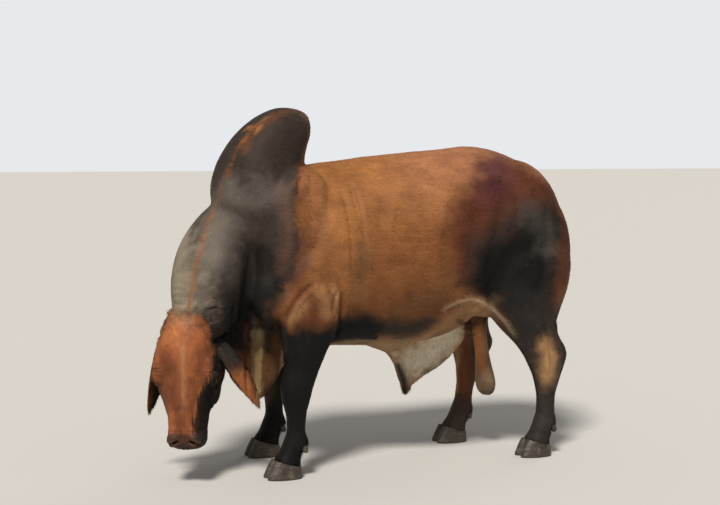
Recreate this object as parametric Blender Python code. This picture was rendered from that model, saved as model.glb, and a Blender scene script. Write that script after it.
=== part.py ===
# Brahman bull, life size, standing and grazing with its head low and turned to its left.
# Frame: the bull faces -X, its left side is -Y, up is +Z and it stands on z = 0. Sizes are in metres.
import math

import bmesh
import bpy
import numpy as np
from mathutils import Matrix, Vector

# The flesh is first made fine in one piece, then simplified and parted.
FINE_CELL = 0.006
SMOOTHING_ROUNDS = 16
FLESH_TRIANGLES = 8000
FACE_DETAIL = 0.04
GAP = 0.0003
SOCKET_GAP = 0.0005
RING_SIDES = 40
LEFT, RIGHT = -1, 1

# Trunk: place along the body, top, underside, half width, height of the widest line.
TRUNK_STATIONS = (
    (-0.86, 1.16, 0.72, 0.13, 0.93),
    (-0.76, 1.33, 0.61, 0.22, 0.93),
    (-0.60, 1.40, 0.565, 0.28, 0.92),
    (-0.40, 1.43, 0.56, 0.325, 0.94),
    (-0.10, 1.465, 0.55, 0.385, 0.96),
    (0.15, 1.485, 0.59, 0.385, 0.99),
    (0.32, 1.497, 0.69, 0.335, 1.10),
    (0.49, 1.455, 0.79, 0.28, 1.14),
    (0.62, 1.385, 0.88, 0.19, 1.14),
    (0.69, 1.29, 0.98, 0.10, 1.14),
)
TRUNK_SQUARENESS = 2.15

# Hump: height, front, back, half width, turn of its front to the left in degrees.
HUMP_STATIONS = (
    (1.08, -0.86, -0.50, 0.150, 26),
    (1.20, -0.965, -0.49, 0.205, 26),
    (1.30, -0.985, -0.52, 0.212, 24),
    (1.40, -0.960, -0.555, 0.195, 22),
    (1.48, -0.922, -0.545, 0.175, 20),
    (1.55, -0.872, -0.520, 0.155, 18),
    (1.61, -0.808, -0.520, 0.125, 16),
    (1.65, -0.742, -0.54, 0.085, 14),
    (1.674, -0.68, -0.59, 0.035, 12),
)

# Neck: centre, reach to the crest, reach to the throat, half width.
NECK_STATIONS = (
    ((-0.58, 0.00, 1.06), 0.30, 0.42, 0.22),
    ((-0.76, 0.03, 1.05), 0.27, 0.38, 0.225),
    ((-0.895, 0.035, 0.99), 0.24, 0.31, 0.215),
    ((-0.985, -0.045, 0.885), 0.195, 0.245, 0.205),
    ((-1.060, -0.140, 0.760), 0.155, 0.185, 0.150),
    ((-1.085, -0.170, 0.640), 0.12, 0.15, 0.09),
)

# Head: it hangs from the poll and has its own axes, which point to its left, forehead and muzzle.
HEAD_LENGTH = 0.59
POLL = Vector((-1.186, -0.245, 0.758))
HEAD_TURN = math.radians(64)
HEAD_LEAN = math.radians(5)
HEAD_ROLL = math.radians(0.5)
# Share of the head's length, forehead side, throat side, half width, widest line, squareness, narrowing on top.
HEAD_STATIONS = (
    (-0.08, -0.045, -0.22, 0.070, -0.13, 2.2, 0.0),
    (0.00, -0.008, -0.25, 0.084, -0.12, 2.3, 0.0),
    (0.10, 0.012, -0.280, 0.110, -0.12, 2.4, 0.02),
    (0.22, 0.023, -0.300, 0.137, -0.12, 2.4, 0.06),
    (0.34, 0.020, -0.305, 0.153, -0.12, 2.4, 0.10),
    (0.44, 0.008, -0.295, 0.154, -0.120, 2.3, 0.13),
    (0.54, 0.002, -0.265, 0.138, -0.120, 2.3, 0.16),
    (0.64, -0.002, -0.228, 0.112, -0.115, 2.3, 0.18),
    (0.74, -0.005, -0.200, 0.092, -0.105, 2.3, 0.15),
    (0.84, -0.009, -0.184, 0.085, -0.10, 2.4, 0.08),
    (0.92, -0.016, -0.172, 0.087, -0.095, 2.5, 0.03),
    (0.975, -0.032, -0.158, 0.076, -0.095, 2.4, 0.0),
    (1.005, -0.058, -0.132, 0.044, -0.095, 2.2, 0.0),
)
EYE_PLACE = (0.132, -0.050, 0.280)
EYE_FACING = Vector((0.82, 0.56, 0.05)).normalized()
EYE_RADIUS = 0.021
EYE_SHOWING = 0.0065
# Rise of the skin, distance of its ridge from the middle, and its spread.
EYE_LIDS = (0.006, 0.024, 0.008)
EYE_HOLLOW = (-0.005, 0.046, 0.010)
MOUTH_LINE = (-0.009, 0.0, 0.006)
LIPS = (0.004, 0.016, 0.010)
MOUTH_HEIGHT = -0.128
MOUTH_SLOPE = 0.05
MOUTH_CORNER = 0.43
NOSTRIL_PLACE = (0.043, -0.030, 0.552)
NOSTRIL_SPREAD = (0.013, 0.020, 0.010)
NOSTRIL_DEPTH = 0.016
EAR_ROOT = (0.112, -0.125, 0.102)
EAR_LENGTH = 0.365
EAR_ROOT_TRIM = 0.05
EAR_ROOM = 0.002
# The way each ear hangs and the way its back faces: out, forward and down in the head's axes.
EAR_HANG = {"left": (0.66, -0.08, 0.80), "right": (0.13, -0.42, 0.87)}
EAR_BACK = {"left": (0.80, 0.45, -0.40), "right": (0.88, -0.35, -0.30)}
EAR_TIP_CURL = {"left": -0.03, "right": 0.055}
# Share of the ear's length, half width, half thickness, hollowing.
EAR_STATIONS = (
    (0.00, 0.030, 0.026, 0.000),
    (0.08, 0.036, 0.022, 0.008),
    (0.20, 0.049, 0.014, 0.022),
    (0.38, 0.062, 0.009, 0.030),
    (0.58, 0.063, 0.007, 0.028),
    (0.76, 0.050, 0.006, 0.020),
    (0.90, 0.031, 0.005, 0.010),
    (0.985, 0.010, 0.004, 0.002),
)

# Legs: height, front, back, sideways place of the centre, half width.
FORE_LEG_STATIONS = (
    (0.96, -0.69, -0.52, 0.17, 0.05),
    (0.84, -0.765, -0.455, 0.215, 0.098),
    (0.74, -0.755, -0.455, 0.235, 0.100),
    (0.65, -0.734, -0.480, 0.24, 0.090),
    (0.56, -0.722, -0.525, 0.24, 0.078),
    (0.48, -0.722, -0.56, 0.24, 0.067),
    (0.41, -0.738, -0.585, 0.24, 0.065),
    (0.35, -0.730, -0.600, 0.24, 0.057),
    (0.28, -0.712, -0.618, 0.24, 0.046),
    (0.21, -0.710, -0.622, 0.24, 0.045),
    (0.155, -0.728, -0.610, 0.24, 0.056),
    (0.11, -0.752, -0.640, 0.24, 0.053),
    (0.07, -0.778, -0.648, 0.24, 0.061),
    (0.02, -0.785, -0.650, 0.24, 0.061),
)
HIND_LEG_STATIONS = (
    (1.10, 0.44, 0.68, 0.13, 0.06),
    (0.98, 0.27, 0.755, 0.180, 0.135),
    (0.84, 0.235, 0.735, 0.210, 0.130),
    (0.74, 0.275, 0.695, 0.225, 0.110),
    (0.64, 0.362, 0.662, 0.225, 0.088),
    (0.56, 0.442, 0.690, 0.225, 0.068),
    (0.50, 0.492, 0.728, 0.225, 0.060),
    (0.44, 0.526, 0.712, 0.225, 0.062),
    (0.38, 0.552, 0.690, 0.225, 0.056),
    (0.30, 0.570, 0.666, 0.225, 0.045),
    (0.22, 0.570, 0.662, 0.225, 0.044),
    (0.155, 0.552, 0.668, 0.225, 0.055),
    (0.11, 0.528, 0.640, 0.225, 0.052),
    (0.07, 0.502, 0.632, 0.225, 0.061),
    (0.02, 0.495, 0.630, 0.225, 0.061),
)
RIGHT_FORE_STEP = 0.05
RIGHT_HIND_STEP = -0.24
STEP_TOP = 0.98

# Feet: the hair ends on a slanting plane, and two claws stand under it.
CORONET_FRONT_HEIGHT = 0.088
CORONET_BACK_HEIGHT = 0.052
CLAW_SIDES = 16
CLAW_SPLIT = 0.008
CLAW_TOP_WIDTH = 0.058
CLAW_SOLE_WIDTH = 0.066
CLAW_TOE_REACH = 0.040
CLAW_SOLE_BEVEL = 0.006
CLAW_INNER_WALL = 0.72
# Each foot: its name, side, front and back of the coronet, sideways place, step.
FEET = (
    ("fore_left", LEFT, -0.776, -0.648, 0.24, 0.0),
    ("fore_right", RIGHT, -0.776, -0.648, 0.24, RIGHT_FORE_STEP),
    ("hind_left", LEFT, 0.504, 0.632, 0.225, 0.0),
    ("hind_right", RIGHT, 0.504, 0.632, 0.225, RIGHT_HIND_STEP),
)
DEWCLAW_RADII = (0.017, 0.017, 0.026)
DEWCLAW_HEIGHT = 0.135
DEWCLAW_SPREAD = 0.032
DEWCLAW_LEAN = math.radians(-28)

# Hanging folds, as slices along the body: place, sideways place, top, bottom, half thickness.
DEWLAP_STATIONS = (
    (-1.005, -0.075, 0.70, 0.58, 0.030),
    (-0.95, -0.05, 0.72, 0.49, 0.045),
    (-0.88, -0.02, 0.74, 0.40, 0.050),
    (-0.81, 0.00, 0.74, 0.335, 0.048),
    (-0.74, 0.00, 0.70, 0.345, 0.045),
    (-0.68, 0.00, 0.66, 0.43, 0.042),
    (-0.62, 0.00, 0.62, 0.50, 0.035),
)
DEWLAP_PLEAT = 0.011
DEWLAP_PLEAT_LENGTH = 0.075
SHEATH_STATIONS = (
    (-0.26, 0.0, 0.62, 0.555, 0.030),
    (-0.18, 0.0, 0.62, 0.527, 0.035),
    (-0.125, 0.0, 0.62, 0.500, 0.038),
    (-0.085, 0.0, 0.62, 0.440, 0.040),
    (-0.062, 0.0, 0.62, 0.370, 0.043),
    (-0.035, 0.0, 0.62, 0.318, 0.044),
    (-0.005, 0.0, 0.62, 0.335, 0.045),
    (0.07, 0.0, 0.63, 0.385, 0.055),
    (0.16, 0.0, 0.65, 0.435, 0.060),
    (0.25, 0.0, 0.68, 0.52, 0.055),
    (0.31, 0.0, 0.72, 0.62, 0.045),
)
# Scrotum, from the groin down: height, front, back, half width.
SCROTUM_STATIONS = (
    (0.74, 0.33, 0.43, 0.055),
    (0.64, 0.325, 0.405, 0.045),
    (0.54, 0.34, 0.41, 0.040),
    (0.45, 0.35, 0.425, 0.045),
    (0.38, 0.352, 0.442, 0.062),
    (0.33, 0.356, 0.450, 0.068),
    (0.29, 0.368, 0.445, 0.055),
    (0.27, 0.385, 0.430, 0.030),
)
# Tail: centre and radius, from the rump down. The switch starts where it ends.
TAIL_STATIONS = (
    ((0.53, 0.0, 1.395), 0.045),
    ((0.62, 0.0, 1.370), 0.044),
    ((0.685, 0.0, 1.320), 0.038),
    ((0.728, 0.0, 1.24), 0.032),
    ((0.752, 0.0, 1.12), 0.027),
    ((0.765, 0.0, 0.98), 0.024),
    ((0.765, 0.0, 0.82), 0.021),
    ((0.760, 0.0, 0.66), 0.019),
    ((0.758, 0.0, 0.60), 0.019),
)
TAIL_END = 0.62
SWITCH_LENGTH = 0.34
SWITCH_CORE = ((0.0, 0.0165), (0.05, 0.021), (0.15, 0.022), (0.22, 0.008))
SWITCH_LOCKS = 12
LOCK_WIDTH = 0.021
LOCK_THICKNESS = 0.008
SWITCH_SEED = 4

# Where the flesh is parted. The head's cut is in its own axes, forehead and muzzle. The others are
# convex outlines seen from the side, with their reach to both sides.
HEAD_CUT = ((0.12, -0.085), (-0.335, 0.115), (-0.335, 0.72), (0.12, 0.72))
HEAD_CUT_REACH = 0.24
CUTS = {
    "tail": (((0.690, 1.60), (0.690, 1.34), (0.735, 0.4), (1.0, 0.4), (1.0, 1.60)), 0.050),
    "scrotum": (((0.27, 0.1), (0.27, 0.655), (0.50, 0.655), (0.50, 0.1)), 0.09),
    "sheath": (((-0.3, 0.2), (-0.3, 0.535), (0.12, 0.575), (0.36, 0.66), (0.36, 0.2)), 0.085),
    "dewlap": (((-1.15, 0.1), (-1.15, 0.66), (-0.90, 0.625), (-0.55, 0.545), (-0.55, 0.1)), 0.10),
    "hump": (((-1.2, 1.8), (-1.2, 1.24), (-0.40, 1.438), (-0.40, 1.8)), 0.5),
    "neck": (((-1.6, 1.6), (-0.935, 1.6), (-0.86, 0.55), (-1.6, 0.55)), 0.6),
}
# Leg cuts: front and its slope, back and its slope, sideways place and height of the pit and of the joint above.
LEG_CUTS = {
    "fore": ((-0.90, 0.0), (-0.458, 0.147), (0.105, 0.54), (0.44, 0.90)),
    "hind": ((0.13, 0.42), (0.95, 0.0), (0.060, 0.665), (0.44, 1.16)),
}

# Muscles and bony points: centre on the left side, radii, lean about the cross axis in degrees.
SIDE_MASSES = {
    "shoulder blade": ((-0.66, 0.190, 1.10), (0.17, 0.105, 0.32), 14),
    "upper arm": ((-0.575, 0.225, 0.88), (0.155, 0.105, 0.19), -20),
    "shoulder point": ((-0.765, 0.195, 0.83), (0.09, 0.09, 0.14), 0),
    "rump": ((0.47, 0.16, 1.13), (0.25, 0.15, 0.31), -12),
    "buttock": ((0.635, 0.165, 0.99), (0.13, 0.12, 0.27), 0),
    "front thigh": ((0.34, 0.215, 0.90), (0.14, 0.10, 0.23), 22),
    "hook bone": ((0.28, 0.245, 1.33), (0.085, 0.055, 0.055), 0),
    "pin bone": ((0.665, 0.085, 1.235), (0.07, 0.06, 0.065), 0),
    "flank fold": ((0.17, 0.275, 0.80), (0.12, 0.050, 0.10), 30),
}
MIDDLE_MASSES = {
    "brisket": ((-0.80, -0.01, 0.74), (0.14, 0.125, 0.16), 20),
    "chest floor": ((-0.58, 0.0, 0.62), (0.20, 0.16, 0.09), 0),
}
# On the head, in its own axes: centre on its left side and radii.
HEAD_SIDE_MASSES = {
    "brow": ((0.106, -0.052, 0.240), (0.043, 0.050, 0.080)),
    "cheek": ((0.086, -0.180, 0.290), (0.052, 0.100, 0.130)),
    "ear root": ((0.070, -0.112, 0.042), (0.038, 0.036, 0.036)),
    "ear base": ((0.098, -0.120, 0.080), (0.033, 0.033, 0.040)),
    "nostril wing": ((0.046, -0.040, 0.545), (0.032, 0.034, 0.036)),
    "upper lip": ((0.045, -0.100, 0.545), (0.040, 0.036, 0.045)),
}
HEAD_MIDDLE_MASSES = {
    "poll": ((0.0, -0.040, 0.005), (0.085, 0.050, 0.050)),
    "chin": ((0.0, -0.165, 0.515), (0.055, 0.030, 0.050)),
}

# Colour and roughness of each material.
MATERIALS = {
    "torso": ((0.165, 0.062, 0.028), 0.75),
    "hump": ((0.045, 0.028, 0.022), 0.75),
    "neck": ((0.050, 0.034, 0.028), 0.75),
    "head": ((0.230, 0.070, 0.028), 0.75),
    "dewlap": ((0.260, 0.150, 0.080), 0.80),
    "fore_leg": ((0.040, 0.024, 0.018), 0.75),
    "hind_leg": ((0.060, 0.036, 0.026), 0.75),
    "sheath": ((0.300, 0.210, 0.140), 0.80),
    "scrotum": ((0.200, 0.075, 0.045), 0.70),
    "tail": ((0.080, 0.040, 0.026), 0.75),
    "switch": ((0.015, 0.012, 0.010), 0.65),
    "ear": ((0.160, 0.060, 0.030), 0.75),
    "eye": ((0.012, 0.008, 0.006), 0.08),
    "horn": ((0.030, 0.024, 0.020), 0.45),
}


def clear_scene():
    for obj in list(bpy.data.objects):
        bpy.data.objects.remove(obj)


def make_materials():
    made = {}
    for name, (colour, roughness) in MATERIALS.items():
        made[name] = bpy.data.materials.new(name)
        made[name].use_nodes = True
        shader = made[name].node_tree.nodes["Principled BSDF"]
        shader.inputs["Base Color"].default_value = (*colour, 1.0)
        shader.inputs["Roughness"].default_value = roughness
        shader.inputs["Metallic"].default_value = 0.0
    return made


def curve_through(stations, rows_between):
    """Rows on a smooth curve that passes through the stations."""
    rows = [np.hstack([np.ravel(value) for value in station]) for station in stations]
    rows = [2 * rows[0] - rows[1], *rows, 2 * rows[-1] - rows[-2]]
    found = []
    for a, b, c, d in zip(rows, rows[1:], rows[2:], rows[3:]):
        for t in np.linspace(0, 1, rows_between, endpoint=False):
            bend = (2 * a - 5 * b + 4 * c - d) * t**2 + (3 * b - a - 3 * c + d) * t**3
            found.append(0.5 * (2 * b + (c - a) * t + bend))
    return [*found, rows[-2]]


def ring(centre, across, upward, half_width, above, below=None, squareness=2.0, narrowing=0.0, hollowing=0.0,
         sides=RING_SIDES):
    """Points of a closed loop, rounder or squarer, higher above the centre than below it."""
    points = []
    for k in range(sides):
        turn = 2 * math.pi * (k + 0.5) / sides
        side = math.copysign(abs(math.cos(turn)) ** (2 / squareness), math.cos(turn))
        lift = math.copysign(abs(math.sin(turn)) ** (2 / squareness), math.sin(turn))
        reach = above if lift >= 0 or below is None else below
        place = Vector(centre) + Vector(across) * (half_width * side * (1 - narrowing * lift))
        points.append(place + Vector(upward) * (reach * lift + hollowing * (1 - side**2)))
    return points


def add_object(name, mesh):
    obj = bpy.data.objects.new(name, mesh)
    bpy.context.scene.collection.objects.link(obj)
    return obj


def object_from(name, bm):
    bmesh.ops.recalc_face_normals(bm, faces=bm.faces)
    mesh = bpy.data.meshes.new(name)
    bm.to_mesh(mesh)
    bm.free()
    return add_object(name, mesh)


def loft(name, rings):
    """A closed tube through rings of equally many points."""
    bm = bmesh.new()
    loops = [[bm.verts.new(point) for point in points] for points in rings]
    for one, other in zip(loops, loops[1:]):
        for k in range(len(one)):
            bm.faces.new((one[k - 1], one[k], other[k], other[k - 1]))
    bm.faces.new(loops[0])
    bm.faces.new(loops[-1])
    return object_from(name, bm)


def ellipsoid(name, centre, radii, turned=Matrix.Identity(4), fineness=4):
    bm = bmesh.new()
    place = Matrix.Translation(centre) @ turned @ Matrix.Diagonal((*radii, 1.0))
    bmesh.ops.create_icosphere(bm, subdivisions=fineness, radius=1.0, matrix=place)
    return object_from(name, bm)


def block(name, corners):
    """The convex block round some corners."""
    bm = bmesh.new()
    for corner in corners:
        bm.verts.new(corner)
    bmesh.ops.convex_hull(bm, input=bm.verts)
    bmesh.ops.delete(bm, geom=[vert for vert in bm.verts if not vert.link_faces], context="VERTS")
    return object_from(name, bm)


def prism(name, outline, along, start, end):
    """A block with a convex outline in the two other axes, reaching from start to end along an axis."""
    ends = [(place, a, b) for place in (start, end) for a, b in outline]
    return block(name, [(a, place, b) for place, a, b in ends] if along == "y" else ends)


def trunk():
    rings = []
    for x, top, bottom, half_width, widest in curve_through(TRUNK_STATIONS, 4):
        rings.append(
            ring((x, 0, widest), (0, 1, 0), (0, 0, 1), half_width, top - widest, widest - bottom, TRUNK_SQUARENESS)
        )
    return loft("trunk", rings)


def hump_mass():
    rings = []
    for z, front, back, half_width, turn in curve_through(HUMP_STATIONS, 4):
        turn = math.radians(turn)
        ahead = (-math.cos(turn), -math.sin(turn), 0)
        across = (-math.sin(turn), math.cos(turn), 0)
        middle = (front + back) / 2
        rings.append(ring((middle, 0, z), across, ahead, half_width, (back - front) / 2, squareness=2.3))
    return loft("hump_mass", rings)


def head_axes():
    """Left, forehead and muzzle directions of the posed head."""
    ahead = Vector((-math.cos(HEAD_TURN), -math.sin(HEAD_TURN), 0))
    left = Vector((math.sin(HEAD_TURN), -math.cos(HEAD_TURN), 0))
    muzzle = Vector((0, 0, -math.cos(HEAD_LEAN))) + ahead * math.sin(HEAD_LEAN)
    forehead = ahead * math.cos(HEAD_LEAN) + Vector((0, 0, math.sin(HEAD_LEAN)))
    roll = Matrix.Rotation(HEAD_ROLL, 3, forehead)
    return roll @ left, forehead, roll @ muzzle


def head_matrix():
    """From the head's own axes to the bull's frame."""
    turned = Matrix(head_axes()).transposed().to_4x4()
    return Matrix.Translation(POLL) @ turned


def neck_mass():
    rows = curve_through(NECK_STATIONS, 5)
    centres = [Vector(row[:3]) for row in rows]
    rings = []
    for k, row in enumerate(rows):
        along = (centres[min(k + 1, len(rows) - 1)] - centres[max(k - 1, 0)]).normalized()
        guide = Vector((0, 0, 1)).lerp(head_axes()[1], min(1.0, 1.2 * k / (len(rows) - 1)))
        crest = (guide - along * guide.dot(along)).normalized()
        rings.append(ring(centres[k], crest.cross(along), crest, row[5], row[3], row[4], 2.2))
    return loft("neck_mass", rings)


def head_mass():
    frame = head_matrix()
    left, forehead, _ = head_axes()
    rings = []
    for share, top, bottom, half_width, widest, squareness, narrowing in curve_through(HEAD_STATIONS, 4):
        centre = frame @ Vector((0, widest, share * HEAD_LENGTH))
        above, below = top - widest, widest - bottom
        rings.append(ring(centre, left, forehead, half_width, above, below, squareness, narrowing))
    return loft("head_mass", rings)


def leg_mass(name, stations, side, step):
    """Rings from the body down to the foot. A step swings the foot forward or back from the hip."""
    rings = []
    for z, front, back, outward, half_width in curve_through(stations, 4):
        swing = step * (1 - (min(z, STEP_TOP) / STEP_TOP) ** 2)
        centre = ((front + back) / 2 + swing, side * outward, z)
        rings.append(ring(centre, (0, 1, 0), (-1, 0, 0), half_width, (back - front) / 2, squareness=2.2))
    return loft(name, rings)


def hanging_fold(name, stations, pleat=0.0, pleat_length=1.0):
    """A curtain of skin along the body, with upright pleats that deepen towards its lower edge."""
    rings = []
    for x, y, top, bottom, half_thickness in curve_through(stations, 5):
        half_height = (top - bottom) / 2
        centre = (x, y, (top + bottom) / 2)
        points = ring(centre, (0, 1, 0), (0, 0, 1), half_thickness, half_height, squareness=2.4)
        for point in points:
            drop = (top - point.z) / (2 * half_height)
            point.y += pleat * drop * math.sin(2 * math.pi * x / pleat_length)
        rings.append(points)
    return loft(name, rings)


def scrotum_mass():
    rings = []
    for z, front, back, half_width in curve_through(SCROTUM_STATIONS, 4):
        centre = ((front + back) / 2, 0, z)
        rings.append(ring(centre, (0, 1, 0), (-1, 0, 0), half_width, (back - front) / 2))
    return loft("scrotum_mass", rings)


def tail_mass():
    rows = curve_through(TAIL_STATIONS, 4)
    rings = []
    for k, (x, y, z, radius) in enumerate(rows):
        after, before = rows[min(k + 1, len(rows) - 1)], rows[max(k - 1, 0)]
        along = Vector((after[0] - before[0], 0, after[2] - before[2])).normalized()
        rings.append(ring((x, y, z), (0, 1, 0), along.cross(Vector((0, 1, 0))), radius, radius))
    return loft("tail_mass", rings)


def body_masses():
    pieces = [trunk(), hump_mass(), neck_mass(), scrotum_mass(), tail_mass()]
    pieces.append(hanging_fold("dewlap_mass", DEWLAP_STATIONS, DEWLAP_PLEAT, DEWLAP_PLEAT_LENGTH))
    pieces.append(hanging_fold("sheath_mass", SHEATH_STATIONS))
    for side in (LEFT, RIGHT):
        pieces.append(leg_mass("fore", FORE_LEG_STATIONS, side, RIGHT_FORE_STEP if side == RIGHT else 0))
        pieces.append(leg_mass("hind", HIND_LEG_STATIONS, side, RIGHT_HIND_STEP if side == RIGHT else 0))
        for name, ((x, outward, z), radii, lean) in SIDE_MASSES.items():
            turned = Matrix.Rotation(math.radians(lean), 4, "Y")
            pieces.append(ellipsoid(name, (x, side * outward, z), radii, turned))
    for name, (centre, radii, lean) in MIDDLE_MASSES.items():
        pieces.append(ellipsoid(name, centre, radii, Matrix.Rotation(math.radians(lean), 4, "Y")))
    return pieces


def head_masses():
    frame = head_matrix()
    turned = frame.to_3x3().to_4x4()
    pieces = [head_mass()]
    for name, ((outward, forward, down), radii) in HEAD_SIDE_MASSES.items():
        for side in (1, -1):
            pieces.append(ellipsoid(name, frame @ Vector((side * outward, forward, down)), radii, turned))
    for name, (centre, radii) in HEAD_MIDDLE_MASSES.items():
        pieces.append(ellipsoid(name, frame @ Vector(centre), radii, turned))
    return pieces


def apply_modifiers(obj):
    """Bakes an object's modifiers into its own mesh."""
    bpy.context.view_layer.update()
    graph = bpy.context.evaluated_depsgraph_get()
    baked = bpy.data.meshes.new_from_object(obj.evaluated_get(graph))
    obj.modifiers.clear()
    obj.data = baked
    return obj


def join(name, pieces):
    bm = bmesh.new()
    for piece in pieces:
        bm.from_mesh(piece.data)
        bpy.data.objects.remove(piece)
    return object_from(name, bm)


def fuse(name, pieces):
    """One smooth closed surface round all the pieces."""
    whole = join(name, pieces)
    remesh = whole.modifiers.new("one skin", "REMESH")
    remesh.mode = "VOXEL"
    remesh.voxel_size = FINE_CELL
    smooth = whole.modifiers.new("soft", "SMOOTH")
    smooth.factor = 0.5
    smooth.iterations = SMOOTHING_ROUNDS
    return apply_modifiers(whole)


def coordinates(obj):
    found = np.empty(len(obj.data.vertices) * 3)
    obj.data.vertices.foreach_get("co", found)
    return found.reshape(-1, 3)


def in_head_axes(points):
    """Head coordinates of points, with both sides folded onto the left one."""
    local = (points - np.array(POLL)) @ np.array(head_axes()).T
    local[:, 0] = np.abs(local[:, 0])
    return local


def eye_centres(obj):
    """Eyeballs set so deep in the finished skin that only their front shows."""
    frame = head_matrix()
    found = {}
    for side, word in ((1, "left"), (-1, "right")):
        facing = frame.to_3x3() @ Vector((side * EYE_FACING.x, EYE_FACING.y, EYE_FACING.z))
        place = frame @ Vector((side * EYE_PLACE[0], EYE_PLACE[1], EYE_PLACE[2]))
        _, skin, _, _ = obj.ray_cast(place + facing * 0.1, -facing)
        found[word] = skin + facing * (EYE_SHOWING - EYE_RADIUS)
    return found


def ridge(distance, shape):
    rise, middle, spread = shape
    return rise * np.exp(-(((distance - middle) / spread) ** 2))


def model_face(obj):
    """Presses in nostrils, mouth line and eye rims, and raises lids and lips."""
    points = coordinates(obj)
    normals = np.empty(len(points) * 3)
    obj.data.vertices.foreach_get("normal", normals)
    local = in_head_axes(points)
    outward, forward, down = local.T
    on_head = (down > -0.05) & (down < 0.7) & (forward < 0.2) & (forward > -0.35) & (outward < 0.2)

    from_eye = np.linalg.norm(np.cross(local - np.array(EYE_PLACE), np.array(EYE_FACING)), axis=1)
    eye = ridge(from_eye, EYE_LIDS) + ridge(from_eye, EYE_HOLLOW)

    to_nostril = (local - np.array(NOSTRIL_PLACE)) / np.array(NOSTRIL_SPREAD)
    nostril = -NOSTRIL_DEPTH * np.exp(-np.sum(to_nostril**2, axis=1))

    before_corner = np.clip((down - MOUTH_CORNER) / 0.02, 0, 1)
    from_mouth = np.abs(forward - MOUTH_HEIGHT - MOUTH_SLOPE * (down - HEAD_LENGTH))
    mouth = (ridge(from_mouth, MOUTH_LINE) + ridge(from_mouth, LIPS)) * before_corner

    push = np.where(on_head, eye + nostril + mouth, 0.0)
    points += normals.reshape(-1, 3) * push[:, None]
    obj.data.vertices.foreach_set("co", points.ravel())
    obj.data.update()


def simplify(obj, triangles):
    """Fewer triangles. The body is thinned out more readily than the face."""
    local = in_head_axes(coordinates(obj))
    from_head = np.linalg.norm(local - np.array([0.0, -0.12, 0.32]), axis=1)
    far = np.clip((from_head - 0.33) / 0.12, 0, 1)
    group = obj.vertex_groups.new(name="thinned out")
    for level in range(0, 11):
        chosen = np.flatnonzero(np.round(far * 10) == level)
        group.add([int(k) for k in chosen], 0.5 + level / 20, "REPLACE")
    fewer = obj.modifiers.new("fewer", "DECIMATE")
    fewer.ratio = triangles / (2 * len(obj.data.polygons))
    fewer.vertex_group = "thinned out"
    fewer.vertex_group_factor = FACE_DETAIL
    fewer.use_collapse_triangulate = True
    apply_modifiers(obj)
    obj.vertex_groups.clear()
    return obj


def boolean(obj, cutter, operation, keep_cutter=False):
    """Unites with, cuts by or keeps the share inside another object."""
    step = obj.modifiers.new(operation, "BOOLEAN")
    step.operation = operation
    step.object = cutter
    apply_modifiers(obj)
    if not keep_cutter:
        bpy.data.objects.remove(cutter)
    return obj


def keep_largest(obj):
    """Drops every closed surface but the largest."""
    bm = bmesh.new()
    bm.from_mesh(obj.data)
    unseen = set(bm.verts)
    surfaces = []
    while unseen:
        reached = [unseen.pop()]
        for vert in reached:
            for edge in vert.link_edges:
                other = edge.other_vert(vert)
                if other in unseen:
                    unseen.discard(other)
                    reached.append(other)
        surfaces.append(reached)
    surfaces.sort(key=len)
    for scrap in surfaces[:-1]:
        bmesh.ops.delete(bm, geom=scrap, context="VERTS")
    bm.to_mesh(obj.data)
    bm.free()
    return obj


def grown(region):
    """A copy of a convex block, larger by the gap on every side."""
    bm = bmesh.new()
    bm.from_mesh(region.data)
    bmesh.ops.dissolve_limit(bm, angle_limit=0.001, verts=bm.verts, edges=bm.edges)
    moved = {}
    for vert in bm.verts:
        planes = [face.normal for face in vert.link_faces]
        push = np.linalg.lstsq(np.array(planes), np.full(len(planes), GAP), rcond=None)[0]
        moved[vert] = vert.co + Vector(push)
    for vert, place in moved.items():
        vert.co = place
    return object_from(region.name + "_grown", bm)


def part_off(whole, name, region):
    """Takes the share of the flesh inside a block as a node, and leaves the rest with a gap to it."""
    piece = add_object(name, whole.data.copy())
    boolean(piece, region, "INTERSECT", keep_cutter=True)
    boolean(whole, grown(region), "DIFFERENCE")
    bpy.data.objects.remove(region)
    return keep_largest(piece)


def head_region():
    """In front of a slanting plane behind the poll and the jaw."""
    frame = head_matrix()
    sides = (-HEAD_CUT_REACH, HEAD_CUT_REACH)
    corners = [frame @ Vector((outward, *place)) for outward in sides for place in HEAD_CUT]
    return block("head_region", corners)


def leg_region(side, front, back, pit, joint):
    """Outward of the leg pit, up to a slanting cut that ends at the shoulder or hip."""
    outline = ((pit[0], -0.1), pit, joint, (0.6, joint[1]), (0.6, -0.1))
    corners = [(x + slope * (z - pit[1]), side * y, z) for x, slope in (front, back) for y, z in outline]
    return block("leg_region", corners)


def part_flesh(whole):
    """Divides the one surface into the named parts of the animal."""
    nodes = {"head": part_off(whole, "head", head_region())}
    for name, (outline, reach) in CUTS.items():
        nodes[name] = part_off(whole, name, prism(name + "_region", outline, "y", -reach, reach))
    for pair, cut in LEG_CUTS.items():
        for side, word in ((LEFT, "left"), (RIGHT, "right")):
            name = f"{pair}_leg_{word}"
            nodes[name] = part_off(whole, name, leg_region(side, *cut))
    whole.name = "torso"
    nodes["torso"] = keep_largest(whole)
    return nodes


def coronet_height(x, front, back):
    share = (x - front) / (back - front)
    return CORONET_FRONT_HEIGHT + (CORONET_BACK_HEIGHT - CORONET_FRONT_HEIGHT) * share


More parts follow.
